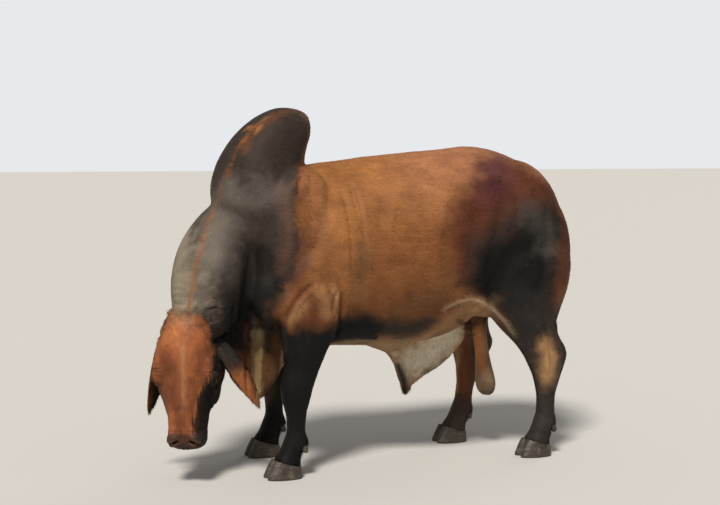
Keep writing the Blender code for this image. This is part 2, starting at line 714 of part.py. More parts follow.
def claw(name, foot, half):
    """One toe of the cloven hoof, standing under the coronet with a flat sole and a flat inner wall."""
    _, side, front, back, outward, step = foot
    front, back = front + step, back + step
    rings = []
    for rise in (0.0, 0.08, 0.5, 1.0):
        bevel = CLAW_SOLE_BEVEL if rise == 0 else 0
        toe = front - CLAW_TOE_REACH * (1 - rise) + bevel
        width = CLAW_SOLE_WIDTH + (CLAW_TOP_WIDTH - CLAW_SOLE_WIDTH) * rise - bevel
        points = []
        for k in range(CLAW_SIDES):
            turn = 2 * math.pi * k / CLAW_SIDES
            ahead = math.cos(turn)
            x = (toe + back) / 2 - ahead * (back - toe) / 2
            narrow = 1 - 0.30 * max(ahead, 0) ** 2 * (1 - 0.6 * rise)
            round_side = math.copysign(abs(math.sin(turn)) ** 0.8, math.sin(turn))
            across = max(round_side, -CLAW_INNER_WALL) * narrow
            y = CLAW_SPLIT / 2 + width * (across + CLAW_INNER_WALL) / (1 + CLAW_INNER_WALL)
            top = coronet_height(x, front, back) - GAP / math.cos(math.radians(16))
            points.append(Vector((x, side * outward + half * y, top * rise)))
        rings.append(points)
    return loft(name, rings)


def coronet_region(foot):
    """Everything of the leg below the slanting line of the hair."""
    _, side, front, back, outward, step = foot
    reach = 0.15
    front, back = front + step, back + step
    ends = [(x, coronet_height(x, front, back)) for x in (front - reach, back + reach)]
    outline = [ends[0], ends[1], (back + reach, -0.2), (front - reach, -0.2)]
    middle = side * outward
    return prism("coronet_region", outline, "y", middle - 0.1, middle + 0.1)


def add_feet(nodes):
    for foot in FEET:
        place, side, front, back, outward, step = foot
        pair, word = place.split("_")
        leg = nodes[f"{pair}_leg_{word}"]
        boolean(leg, coronet_region(foot), "DIFFERENCE")
        for half, word in ((-side, "inner"), (side, "outer")):
            nodes[f"claw_{place}_{word}"] = claw(f"claw_{place}_{word}", foot, half)
            lean = Matrix.Rotation(DEWCLAW_LEAN, 4, "Y")
            centre = Vector((back + step + 0.012, side * outward + half * DEWCLAW_SPREAD, DEWCLAW_HEIGHT))
            name = f"dewclaw_{place}_{word}"
            nodes[name] = ellipsoid(name, centre, DEWCLAW_RADII, lean, fineness=2)
            socket = ellipsoid("socket", centre, [r + SOCKET_GAP for r in DEWCLAW_RADII], lean, fineness=2)
            boolean(leg, socket, "DIFFERENCE")
        keep_largest(leg)


def add_eyes(nodes, centres):
    for word, centre in centres.items():
        name = "eye_" + word
        nodes[name] = ellipsoid(name, centre, [EYE_RADIUS] * 3, fineness=3)
        socket = ellipsoid("socket", centre, [EYE_RADIUS + SOCKET_GAP] * 3, fineness=3)
        boolean(nodes["head"], socket, "DIFFERENCE")
    keep_largest(nodes["head"])


def ear_axes(side, word):
    """Along the hanging ear, across its width and out of its back, in the head's axes."""
    out, forward, down = EAR_HANG[word]
    along = Vector((side * out, forward, down)).normalized()
    out, forward, down = EAR_BACK[word]
    back = Vector((side * out, forward, down))
    back = (back - along * back.dot(along)).normalized()
    return along, back.cross(along), back


def ear_leaf(name, side, word, margin=0.0):
    """A cupped leaf that hangs from the side of the poll. A margin makes it wider and much thicker."""
    frame = head_matrix()
    turned = frame.to_3x3()
    along, across, back = ear_axes(side, word)
    root = Vector((side * EAR_ROOT[0], EAR_ROOT[1], EAR_ROOT[2]))
    wide, out = turned @ across, turned @ back
    rings = []
    for share, half_width, half_thickness, hollow in curve_through(EAR_STATIONS, 2):
        droop = Vector((side * EAR_TIP_CURL[word], 0, 0.03)) * share**2
        centre = frame @ (root + along * (share * EAR_LENGTH) + droop)
        half_width, half_thickness = half_width + margin, half_thickness + 3 * margin
        rings.append(ring(centre, wide, out, half_width, half_thickness, hollowing=hollow, sides=16))
    return loft(name, rings)


def ear_root_block(side, word):
    """The room just outward of an ear's flat root, where the head ends."""
    along, across, back = ear_axes(side, word)
    root = Vector((side * EAR_ROOT[0], EAR_ROOT[1], EAR_ROOT[2]))
    corners = []
    for width, height in ((-1, -1), (-1, 1), (1, 1), (1, -1)):
        edge = root + (across * width + back * height) * EAR_ROOT_TRIM
        corners += [head_matrix() @ (edge - along * GAP), head_matrix() @ (edge + along * EAR_ROOT_TRIM)]
    return block("beyond_ear_root", corners)


def add_ears(nodes):
    for side, word in ((1, "left"), (-1, "right")):
        name = "ear_" + word
        nodes[name] = ear_leaf(name, side, word)
        boolean(nodes["head"], ear_root_block(side, word), "DIFFERENCE")
        boolean(nodes["head"], ear_leaf("ear_room", side, word, EAR_ROOM), "DIFFERENCE")
    keep_largest(nodes["head"])


def switch_lock(name, root, length, width, thickness, drift, twist):
    """A flat tapered lock that hangs and bends."""
    rings = []
    for share in (0.0, 0.3, 0.62, 0.86, 1.0):
        swell = math.sin(math.pi * min(1.0, 0.32 + 0.68 * share)) ** 0.7 if share < 1 else 0.12
        centre = root + Vector((drift[0] * share**1.5, drift[1] * share**1.5, -length * share))
        turn = twist + 0.5 * share
        across = Vector((math.cos(turn), math.sin(turn), 0))
        rings.append(ring(centre, across, (-across.y, across.x, 0), width * swell, thickness * swell, sides=4))
    return loft(name, rings)


def add_switch(nodes):
    """The tuft at the tail's end, locks round a short core that meets the tail face to face."""
    rng = np.random.default_rng(SWITCH_SEED)
    root = Vector((TAIL_STATIONS[-1][0][0], 0, TAIL_END - GAP))
    core_rings = []
    for drop, radius in SWITCH_CORE:
        core_rings.append(ring(root + Vector((0, 0, -drop)), (1, 0, 0), (0, 1, 0), radius, radius, sides=12))
    core = loft("tail_switch", core_rings)
    locks = bpy.data.collections.new("locks")
    for k in range(SWITCH_LOCKS):
        turn = 2 * math.pi * k * 0.382
        depth = 0.020 + 0.105 * k / SWITCH_LOCKS
        out = Vector((math.cos(turn), math.sin(turn), 0))
        start = root + out * 0.012 - Vector((0, 0, depth))
        length = (SWITCH_LENGTH - depth) * rng.uniform(0.82, 1.0)
        drift = out * rng.uniform(0.018, 0.040)
        twist = turn + math.pi / 2 + rng.uniform(-0.3, 0.3)
        lock = switch_lock("lock", start, length, LOCK_WIDTH, LOCK_THICKNESS, drift, twist)
        bpy.context.scene.collection.objects.unlink(lock)
        locks.objects.link(lock)
    union = core.modifiers.new("locks", "BOOLEAN")
    union.operation = "UNION"
    union.operand_type = "COLLECTION"
    union.collection = locks
    apply_modifiers(core)
    for lock in list(locks.objects):
        bpy.data.objects.remove(lock)
    bpy.data.collections.remove(locks)
    nodes["tail_switch"] = keep_largest(core)


def trim_tail(nodes):
    """Ends the tail flat where its switch starts."""
    outline = ((0.6, TAIL_END), (1.0, TAIL_END), (1.0, 0.2), (0.6, 0.2))
    boolean(nodes["tail"], prism("tail_trim", outline, "y", -0.1, 0.1), "DIFFERENCE")
    keep_largest(nodes["tail"])


def finish_nodes(nodes, materials):
    """Material, shading and place: the origin is under the middle of the animal's box."""
    corners = np.vstack([coordinates(obj) for obj in nodes.values()])
    middle = (corners.min(axis=0) + corners.max(axis=0)) / 2
    shift = Matrix.Translation((-middle[0], -middle[1], 0))
    for name, obj in nodes.items():
        kind = "horn" if "claw" in name else "switch" if name == "tail_switch" else name
        kind = kind.removesuffix("_left").removesuffix("_right")
        obj.data.materials.clear()
        obj.data.materials.append(materials[kind])
        obj.data.transform(shift)
        obj.data.shade_smooth()
        obj.data.set_sharp_from_angle(angle=math.radians(50))


def build():
    clear_scene()
    whole = fuse("flesh", body_masses() + head_masses())
    eyes = eye_centres(whole)
    model_face(whole)
    simplify(whole, FLESH_TRIANGLES)
    nodes = part_flesh(whole)
    add_feet(nodes)
    add_eyes(nodes, eyes)
    add_ears(nodes)
    trim_tail(nodes)
    add_switch(nodes)
    finish_nodes(nodes, make_materials())


build()
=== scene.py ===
import math

import bmesh
import bpy
import numpy as np
from mathutils import Matrix, Vector
from mathutils.bvhtree import BVHTree


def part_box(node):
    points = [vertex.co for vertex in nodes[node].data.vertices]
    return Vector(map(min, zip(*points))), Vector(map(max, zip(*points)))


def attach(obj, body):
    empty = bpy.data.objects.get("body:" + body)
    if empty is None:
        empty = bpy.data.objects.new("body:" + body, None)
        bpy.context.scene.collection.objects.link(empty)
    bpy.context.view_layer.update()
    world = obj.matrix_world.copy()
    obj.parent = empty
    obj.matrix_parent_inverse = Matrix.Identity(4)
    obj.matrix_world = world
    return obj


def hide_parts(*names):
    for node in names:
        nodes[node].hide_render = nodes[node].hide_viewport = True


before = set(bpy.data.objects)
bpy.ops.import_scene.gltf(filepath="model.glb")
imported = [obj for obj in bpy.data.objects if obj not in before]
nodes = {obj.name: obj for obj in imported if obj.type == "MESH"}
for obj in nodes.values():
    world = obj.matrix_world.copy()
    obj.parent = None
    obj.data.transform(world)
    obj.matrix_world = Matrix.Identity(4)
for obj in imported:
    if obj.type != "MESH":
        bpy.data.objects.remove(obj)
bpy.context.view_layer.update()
scene = bpy.context.scene
print("frame loaded")

# camera of the photograph: its picture is 720 by 505
view = {
    "place": (-2.385, -6.196, 1.48),
    "turn": -21.0,
    "down": 4.187,
    "lens": 70.0,
    "focal": 1400.0,
    "middle": (360.0, 252.5),
}


def makeCamera():
    data = bpy.data.cameras.new("camera")
    data.lens = view["lens"]
    data.sensor_width = 36.0
    data.clip_end = 200.0
    camera = bpy.data.objects.new("camera", data)
    scene.collection.objects.link(camera)
    camera.location = view["place"]
    camera.rotation_euler = (math.radians(90 - view["down"]), 0, math.radians(view["turn"]))
    scene.camera = camera
    bpy.context.view_layer.update()
    return camera


camera = makeCamera()
eyePoint = Vector(view["place"])
viewAxes = camera.matrix_world.to_3x3()


def rayThrough(px, py):
    local = Vector(((px - view["middle"][0]) / view["focal"], (view["middle"][1] - py) / view["focal"], -1.0))
    return (viewAxes @ local).normalized()


def atDepth(px, py, y):
    ray = rayThrough(px, py)
    return eyePoint + ray * ((y - eyePoint.y) / ray.y)


# head's own axes: to its left, out of the forehead, down to the muzzle
head = {"poll": Vector((-0.930, -0.245, 0.758)), "turn": 64.0, "lean": 5.0, "roll": 0.5}


def headAxes():
    turn, lean = math.radians(head["turn"]), math.radians(head["lean"])
    ahead = Vector((-math.cos(turn), -math.sin(turn), 0))
    left = Vector((math.sin(turn), -math.cos(turn), 0))
    muzzle = Vector((0, 0, -math.cos(lean))) + ahead * math.sin(lean)
    forehead = ahead * math.cos(lean) + Vector((0, 0, math.sin(lean)))
    roll = Matrix.Rotation(math.radians(head["roll"]), 3, forehead)
    return roll @ left, forehead, roll @ muzzle


headFrame = Matrix.Translation(head["poll"]) @ Matrix(headAxes()).transposed().to_4x4()
headTurn = np.array(headFrame.to_3x3())


def inHead(points):
    return (points - np.array(head["poll"])) @ headTurn


def fromHead(place):
    return headFrame @ Vector(place)


# numbers: smooth noise and falloffs
def lattice(cell, seed):
    code = cell[:, 0] * 73856093 ^ cell[:, 1] * 19349663 ^ cell[:, 2] * 83492791 ^ seed * 40503
    code = (code ^ (code >> 13)) * 1274126177 & 0x7FFFFFFF
    return ((code ^ (code >> 15)) & 0xFFFF) / 32767.5 - 1


def noise(points, size, seed=0):
    scaled = points / np.asarray(size)
    cell = np.floor(scaled).astype(np.int64)
    part = scaled - cell
    part = part * part * (3 - 2 * part)
    total = np.zeros(len(points))
    for corner in range(8):
        step = np.array([corner & 1, corner >> 1 & 1, corner >> 2])
        share = np.prod(np.where(step, part, 1 - part), axis=1)
        total += share * lattice(cell + step, seed)
    return total


def roughNoise(points, size, seed=0, layers=3):
    size = np.asarray(size, float)
    return sum(noise(points, size / 2**k, seed + k) * 0.55**k for k in range(layers))


def smoothStep(value, low, high):
    t = np.clip((value - low) / (high - low), 0, 1)
    return t * t * (3 - 2 * t)


# meshes
def newObject(name, data):
    obj = bpy.data.objects.new(name, data)
    scene.collection.objects.link(obj)
    return obj


def verticesOf(mesh):
    found = np.empty(len(mesh.vertices) * 3)
    mesh.vertices.foreach_get("co", found)
    return found.reshape(-1, 3)


def normalsOf(mesh):
    found = np.empty(len(mesh.vertices) * 3, np.float32)
    mesh.vertex_normals.foreach_get("vector", found)
    return found.reshape(-1, 3).astype(float)


def setVertices(mesh, points):
    mesh.vertices.foreach_set("co", points.astype(np.float32).ravel())
    mesh.update()


def baked(obj):
    bpy.context.view_layer.update()
    graph = bpy.context.evaluated_depsgraph_get()
    mesh = bpy.data.meshes.new_from_object(obj.evaluated_get(graph))
    obj.modifiers.clear()
    obj.data = mesh
    return obj


def meshOf(bm, name):
    mesh = bpy.data.meshes.new(name)
    bm.to_mesh(mesh)
    bm.free()
    return mesh


def voxelSurface(obj, cell):
    remesh = obj.modifiers.new("one surface", "REMESH")
    remesh.mode = "VOXEL"
    remesh.voxel_size = cell
    remesh.use_smooth_shade = True


def inBox(points, name, margin):
    low, high = (np.array(corner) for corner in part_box(name))
    return np.all((points > low - margin) & (points < high + margin), axis=1)


def mergedCopy(name):
    piece = bmesh.new()
    piece.from_mesh(nodes[name].data)
    bmesh.ops.remove_doubles(piece, verts=piece.verts, dist=1e-6)
    bmesh.ops.recalc_face_normals(piece, faces=piece.faces)
    piece.normal_update()
    return piece


def meshFrom(name, points, faces):
    mesh = bpy.data.meshes.new(name)
    mesh.from_pydata([tuple(p) for p in points], [], faces)
    mesh.update()
    return mesh


# skin: one surface over all the flesh of the frame
flesh = [
    "torso", "hump", "neck", "head", "dewlap", "sheath", "scrotum", "tail", "ear_left", "ear_right",
    "fore_leg_left", "fore_leg_right", "hind_leg_left", "hind_leg_right",
]
skinLook = {
    "cell": 0.004,
    "grow": 0.0008,
    "softness": 0.020,
    "inset": 0.0018,
    "waves": 0.0016,
    "creases": 0.0005,
    # balls in the hollows at the ear roots: place in the head's axes, radius
    "fillings": [(0.118, -0.180, 0.110, 0.026), (0.117, -0.092, 0.128, 0.023)],
    "triangles": 192000,
}


def rawSkin():
    whole = bmesh.new()
    for name in flesh:
        piece = mergedCopy(name)
        for vert in piece.verts:
            vert.co += vert.normal * skinLook["grow"]
        mesh = meshOf(piece, "part")
        whole.from_mesh(mesh)
        bpy.data.meshes.remove(mesh)
    for side in (1, -1):
        for outward, forward, down, radius in skinLook["fillings"]:
            place = Matrix.Translation(fromHead((side * outward, forward, down)))
            bmesh.ops.create_icosphere(whole, subdivisions=3, radius=radius, matrix=place)
    obj = newObject("skin", meshOf(whole, "skin"))
    voxelSurface(obj, skinLook["cell"])
    return baked(obj)


def finerHead(obj):
    bm = bmesh.new()
    bm.from_mesh(obj.data)
    points = verticesOf(obj.data)
    local = inHead(points)
    finer = (local > (-0.24, -0.33, -0.02)).all(axis=1) & (local < (0.24, 0.1, 0.66)).all(axis=1)
    finer &= points[:, 0] < -0.5
    bm.verts.ensure_lookup_table()
    chosen = [edge for edge in bm.edges if finer[edge.verts[0].index] and finer[edge.verts[1].index]]
    bmesh.ops.subdivide_edges(bm, edges=chosen, cuts=1, use_grid_fill=True)
    bm.to_mesh(obj.data)
    bm.free()


# how freely the skin is smoothed and waved: least share and the distances or heights that it grows between
firmness = {
    "face": (0.12, 0.34, 0.50),
    "legs": (0.35, 0.10, 0.75),
    "tail": (0.06, 1.20, 1.40),
    "faceMiddle": (0, -0.12, 0.30),
    "parts": {"ear_left": 0.05, "ear_right": 0.05, "scrotum": 0.4, "sheath": 0.4, "dewlap": 0.4},
}


def eased(value, least, low, high):
    return least + (1 - least) * smoothStep(value, low, high)


def fleshWeight(points):
    fromFace = np.linalg.norm(inHead(points) - np.array(firmness["faceMiddle"]), axis=1)
    weight = eased(fromFace, *firmness["face"]) * eased(points[:, 2], *firmness["legs"])
    tail = (points[:, 0] > 0.93) & (np.abs(points[:, 1]) < 0.055)
    weight = np.where(tail, weight * eased(points[:, 2], *firmness["tail"]), weight)
    for name, most in firmness["parts"].items():
        weight = np.where(inBox(points, name, 0.004), np.minimum(weight, most), weight)
    return weight


def averaged(values, edges, count, weight, rounds):
    degree = np.maximum(np.bincount(edges.ravel(), minlength=count), 1)
    for _ in range(rounds):
        for k in range(3):
            total = np.bincount(edges[:, 0], values[edges[:, 1], k], count)
            total += np.bincount(edges[:, 1], values[edges[:, 0], k], count)
            values[:, k] += 0.5 * weight * (total / degree - values[:, k])
    return values


def soften(obj, reach):
    mesh = obj.data
    edges = np.empty(len(mesh.edges) * 2, np.int64)
    mesh.edges.foreach_get("vertices", edges)
    edges = edges.reshape(-1, 2)
    points = verticesOf(mesh)
    weight = fleshWeight(points)
    rounds = max(1, round(reach**2 / (0.25 * skinLook["cell"] ** 2)))
    once = averaged(points.copy(), edges, len(points), weight, rounds)
    lost = averaged(points - once, edges, len(points), weight, rounds)
    setVertices(mesh, once + lost)


def treeOf(obj):
    bpy.context.view_layer.update()
    return BVHTree.FromObject(obj, bpy.context.evaluated_depsgraph_get())


skin = rawSkin()
print("skin cells", len(skin.data.polygons))
soften(skin, skinLook["softness"])
finerHead(skin)
print("skin softened", len(skin.data.polygons))
skinTree = treeOf(skin)


# strokes: lines given in the photograph's pixels and laid on the skin
def onSkin(px, py):
    place, _, _, _ = skinTree.ray_cast(eyePoint, rayThrough(px, py))
    return place


def dense(line, step):
    found = []
    for a, b in zip(line, line[1:]):
        count = max(1, math.ceil(math.dist(a, b) / step))
        found += [tuple(p + (q - p) * k / count for p, q in zip(a, b)) for k in range(count)]
    return found + [tuple(line[-1])]


def rounded(line, times=2):
    for _ in range(times):
        cut = [line[0]]
        for a, b in zip(line, line[1:]):
            cut.append(tuple(0.75 * p + 0.25 * q for p, q in zip(a, b)))
            cut.append(tuple(0.25 * p + 0.75 * q for p, q in zip(a, b)))
        line = cut + [line[-1]]
    return line


def laid(line):
    places = [onSkin(*pixel) for pixel in dense(rounded(line), 2.0)]
    return np.array([place for place in places if place is not None])


def otherSide(path):
    snapped = [skinTree.find_nearest(Vector((x, -y, z)))[0] for x, y, z in path]
    return np.array(snapped)


def headLine(line):
    places = [skinTree.find_nearest(fromHead(place))[0] for place in dense(rounded(line), 0.004)]
    return np.array(places)


def nearest(points, path):
    best = np.full(len(points), np.inf)
    share = np.zeros(len(points))
    for k in range(len(path) - 1):
        a, step = path[k], path[k + 1] - path[k]
        length = max(step @ step, 1e-12)
        t = np.clip((points - a) @ step / length, 0, 1)
        offset = points - (a + t[:, None] * step)
        distance = np.einsum("ij,ij->i", offset, offset)
        closer = distance < best
        best[closer] = distance[closer]
        share[closer] = (k + t[closer]) / (len(path) - 1)
    return np.sqrt(best), share


def near(points, path, reach):
    low, high = path.min(0) - reach, path.max(0) + reach
    return np.flatnonzero(np.all((points > low) & (points < high), axis=1))


def pressLine(points, push, path, height, radius, fade=0.25):
    if len(path) < 2:
        return
    chosen = near(points, path, radius * 4)
    distance, share = nearest(points[chosen], path)
    reach = distance / radius
    shape = np.exp(-(reach**2))
    if height < 0:
        shape -= 0.35 * np.exp(-((reach - 1.7) ** 2))
    push[chosen] += height * shape * smoothStep(np.minimum(share, 1 - share), 0, fade)


print("tools ready")


# folds: name, height (below zero for a groove, above for a ridge), radius, points in the picture,
# laid on the far side too
folds = [
    ("behind the hump", -0.007, 0.013, [(308, 155), (304, 168), (300, 182), (299, 195)], True),
    ("neck to shoulder", -0.007, 0.028, [(303, 180), (300, 205), (302, 235), (300, 262),
        (290, 290)], True),
    ("shoulder blade", 0.004, 0.035, [(324, 208), (326, 222), (324, 250), (316, 280)], True),
    ("behind the shoulder", -0.006, 0.012, [(336, 178), (346, 202), (351, 228), (353, 256),
        (351, 290)], True),
    ("second behind the shoulder", -0.0045, 0.009, [(353, 180), (361, 204), (365, 228), (366, 250)], True),
    ("third behind the shoulder", -0.003, 0.008, [(346, 176), (355, 200), (359, 222)], True),
    ("arm and belly", -0.012, 0.012, [(342, 290), (343, 308), (338, 325), (334, 346)], True),
    ("back of the arm", 0.007, 0.018, [(333, 285), (336, 300), (333, 318), (328, 335)], True),
    ("elbow fold", -0.006, 0.010, [(338, 288), (333, 302), (332, 316)], True),
    ("arm muscle", -0.007, 0.014, [(284, 324), (290, 308), (301, 294), (318, 281)], True),
    ("forearm", -0.005, 0.014, [(303, 300), (306, 320), (305, 350)], True),
    ("forearm front", -0.004, 0.010, [(292, 322), (293, 345), (292, 370)], True),
    ("throat to shoulder", -0.010, 0.030, [(257, 228), (251, 255), (247, 285), (243, 315),
        (240, 345)], False),
    ("throat fold", -0.006, 0.014, [(236, 300), (232, 325), (232, 350)], False),
    ("dewlap one", -0.008, 0.012, [(249, 322), (246, 350), (247, 380), (250, 404)], False),
    ("dewlap two", -0.006, 0.010, [(258, 326), (256, 352), (256, 380), (257, 402)], False),
    ("dewlap three", 0.006, 0.010, [(263, 325), (262, 352), (260, 385)], False),
    ("brisket", -0.006, 0.014, [(274, 300), (270, 322), (268, 345)], False),
    ("neck wrinkle one", -0.004, 0.007, [(169, 280), (176, 282), (184, 281)], False),
    ("neck wrinkle two", -0.0045, 0.007, [(168, 287), (176, 289.5), (186, 288)], False),
    ("neck wrinkle three", -0.004, 0.007, [(168, 294.5), (177, 297), (188, 296)], False),
    ("neck wrinkle four", -0.003, 0.006, [(169, 302), (178, 304.5), (186, 304)], False),
    ("neck wrinkle five", -0.003, 0.007, [(200, 283), (214, 288), (230, 289)], False),
    ("neck wrinkle six", -0.003, 0.007, [(200, 293), (213, 298), (228, 299)], False),
    ("neck wrinkle seven", -0.003, 0.007, [(203, 303), (215, 309), (230, 311)], False),
    ("flank arch", 0.007, 0.016, [(440, 311), (455, 303), (472, 299), (488, 305), (503, 320),
        (515, 336)], True),
    ("above the flank", -0.008, 0.026, [(448, 290), (466, 286), (484, 290), (500, 304)], True),
    ("thigh front", -0.008, 0.040, [(478, 200), (474, 232), (470, 262), (470, 288)], True),
    ("thigh middle", -0.006, 0.034, [(505, 186), (500, 222), (490, 262), (488, 285)], True),
    ("thigh back", -0.007, 0.026, [(548, 196), (548, 230), (545, 264), (538, 304)], True),
    ("seat", 0.004, 0.020, [(560, 205), (567, 236), (566, 268), (558, 296)], True),
    ("hollow of the hock", -0.010, 0.013, [(541, 322), (549, 340), (553, 358), (552, 376)], True),
    ("hock tendon", 0.006, 0.009, [(554, 318), (560, 338), (566, 352)], True),
    ("hock bones", 0.005, 0.012, [(531, 352), (538, 362), (541, 374)], True),
    ("sheath top", -0.005, 0.014, [(378, 349), (392, 342), (412, 343), (432, 338), (450, 325)], False),
    ("sheath pleat one", -0.003, 0.007, [(402, 350), (403, 365), (404, 382)], False),
    ("sheath pleat two", -0.003, 0.007, [(414, 350), (411, 364), (408, 378)], False),
    ("groin one", -0.005, 0.006, [(455, 318), (464, 323), (474, 321)], False),
    ("groin two", -0.005, 0.006, [(457, 325), (466, 329), (476, 327)], False),
    ("groin three", -0.004, 0.006, [(460, 332), (468, 336), (477, 333)], False),
    ("skin line one", -0.0018, 0.006, [(384, 231), (408, 234), (436, 231)], True),
    ("skin line two", -0.0022, 0.006, [(389, 240), (415, 243), (442, 240)], True),
    ("skin line three", -0.0018, 0.006, [(386, 249), (416, 252), (446, 249)], True),
    ("skin line four", -0.0016, 0.006, [(378, 222), (400, 225), (428, 222)], True),
    ("last rib", 0.003, 0.022, [(448, 180), (442, 215), (438, 250), (440, 280)], True),
    ("rib one", 0.0022, 0.018, [(422, 182), (416, 215), (411, 250), (411, 285)], True),
    ("rib two", 0.0022, 0.018, [(398, 184), (392, 216), (387, 252), (386, 290)], True),
    ("rib three", 0.0022, 0.018, [(377, 186), (374, 216), (370, 252), (368, 292)], True),
    ("milk vein", 0.004, 0.012, [(352, 330), (372, 326), (395, 328), (420, 326)], True),
    ("rump knobs", 0.004, 0.012, [(500, 152), (512, 158), (524, 163), (534, 169)], False),
]
# on the head, in its own axes: name, height, radius, points outward, forward and down
headFolds = [
    ("poll corner", -0.013, 0.034, [(0.112, -0.03, -0.035), (0.116, -0.03, 0.0), (0.122, -0.03, 0.035)]),
    ("nose side", -0.004, 0.016, [(0.080, 0.0, 0.30), (0.062, -0.004, 0.40), (0.050, -0.010, 0.50)]),
    ("forehead side", -0.004, 0.016, [(0.078, 0.02, 0.12), (0.094, 0.02, 0.19), (0.098, 0.01, 0.24)]),
    ("cheek crest", 0.005, 0.011, [(0.150, -0.095, 0.31), (0.132, -0.105, 0.38), (0.108, -0.11, 0.45)]),
    ("cheek edge", 0.006, 0.016, [(0.14, -0.25, 0.22), (0.135, -0.27, 0.31), (0.11, -0.25, 0.40),
        (0.09, -0.2, 0.46)]),
    ("cheek front", -0.005, 0.014, [(0.13, -0.15, 0.38), (0.115, -0.19, 0.41), (0.09, -0.23, 0.43)]),
    ("brow fold one", -0.003, 0.005, [(0.100, 0.0, 0.238), (0.118, -0.015, 0.232), (0.134, -0.04, 0.238)]),
    ("brow fold two", -0.003, 0.005, [(0.094, 0.0, 0.252), (0.110, -0.010, 0.245), (0.128, -0.03, 0.244)]),
    ("under the eye", -0.003, 0.006, [(0.138, -0.088, 0.270), (0.141, -0.090, 0.290),
        (0.136, -0.080, 0.312)]),
    ("tear line", -0.0035, 0.006, [(0.132, -0.056, 0.312), (0.126, -0.062, 0.335),
        (0.118, -0.070, 0.365)]),
    ("nostril", -0.014, 0.0065, [(0.026, -0.024, 0.548), (0.040, -0.026, 0.556), (0.052, -0.040, 0.553),
        (0.058, -0.056, 0.540)]),
    ("nostril rim", 0.004, 0.005, [(0.028, -0.014, 0.532), (0.044, -0.018, 0.538),
        (0.060, -0.034, 0.536), (0.068, -0.052, 0.526)]),
    ("muzzle edge", -0.0014, 0.006, [(0.0, -0.006, 0.505), (0.040, -0.014, 0.512),
        (0.070, -0.050, 0.508), (0.082, -0.095, 0.492)]),
    ("mouth", -0.007, 0.005, [(0.0, -0.130, 0.60), (0.040, -0.130, 0.585), (0.070, -0.131, 0.54),
        (0.084, -0.134, 0.48), (0.088, -0.138, 0.44)]),
    ("middle of the lip", -0.004, 0.004, [(0.0, -0.040, 0.590), (0.0, -0.075, 0.598),
        (0.0, -0.115, 0.600)]),
    ("mouth corner one", -0.003, 0.005, [(0.094, -0.115, 0.425), (0.094, -0.140, 0.415),
        (0.088, -0.165, 0.418)]),
    ("mouth corner two", -0.003, 0.005, [(0.096, -0.11, 0.405), (0.098, -0.140, 0.395),
        (0.090, -0.170, 0.398)]),
]


def pressFolds(obj):
    points = verticesOf(obj.data)
    normals = normalsOf(obj.data)
    push = np.zeros(len(points))
    for _, height, radius, line, both in folds:
        path = laid(line)
        pressLine(points, push, path, height, radius)
        if both and len(path) > 1:
            pressLine(points, push, otherSide(path), height, radius)
    for _, height, radius, line in headFolds:
        for side in (1, -1):
            path = headLine([(side * a, b, c) for a, b, c in line])
            pressLine(points, push, path, height, radius, 0.15)
    body = fleshWeight(points)
    push += skinLook["waves"] * body * roughNoise(points, (0.11, 0.09, 0.16), 3)
    push += skinLook["creases"] * roughNoise(points, (0.030, 0.030, 0.018), 9, 2) * smoothStep(body, 0.1, 0.6)
    setVertices(obj.data, points + normals * (push - skinLook["inset"])[:, None])


def fewerTriangles(obj, count):
    points = verticesOf(obj.data)
    level = np.round(smoothStep(fleshWeight(points), 0.1, 0.6) * 5).astype(int)
    group = obj.vertex_groups.new(name="thinned out")
    for k in range(6):
        group.add([int(i) for i in np.flatnonzero(level == k)], 0.72 + 0.056 * k, "REPLACE")
    fewer = obj.modifiers.new("fewer", "DECIMATE")
    fewer.ratio = count / sum(len(face.vertices) - 2 for face in obj.data.polygons)
    fewer.vertex_group = "thinned out"
    fewer.vertex_group_factor = 0.02
    fewer.use_collapse_triangulate = True
    baked(obj)
    obj.vertex_groups.clear()


pressFolds(skin)
fewerTriangles(skin, skinLook["triangles"])
skin.data.shade_smooth()
skinTree = treeOf(skin)
print("skin folded", len(skin.data.polygons))

# markings, with painted light and shade among them: linear colours
coat = {
    "barrel": (0.245, 0.098, 0.031),
    "tan": (0.390, 0.215, 0.100),
    "pale": (0.450, 0.340, 0.220),
    "dark": (0.024, 0.0205, 0.019),
    "black": (0.006, 0.0065, 0.0065),
    "grey": (0.130, 0.112, 0.096),
    "purple": (0.075, 0.024, 0.026),
    "orange": (0.400, 0.150, 0.050),
    "red": (0.275, 0.090, 0.035),
    "ash": (0.420, 0.360, 0.260),
    "maroon": (0.072, 0.022, 0.012),
    "rust": (0.165, 0.058, 0.020),
    # roseHighlight: the colour of painted highlights
    "roseHighlight": (0.350, 0.155, 0.100),
    "taupe": (0.120, 0.062, 0.046),
    "khaki": (0.300, 0.215, 0.105),
    # umberShade: the colour of painted shade
    "umberShade": (0.075, 0.048, 0.024),
    "cream": (0.620, 0.550, 0.420),
    "pink": (0.520, 0.250, 0.170),
}
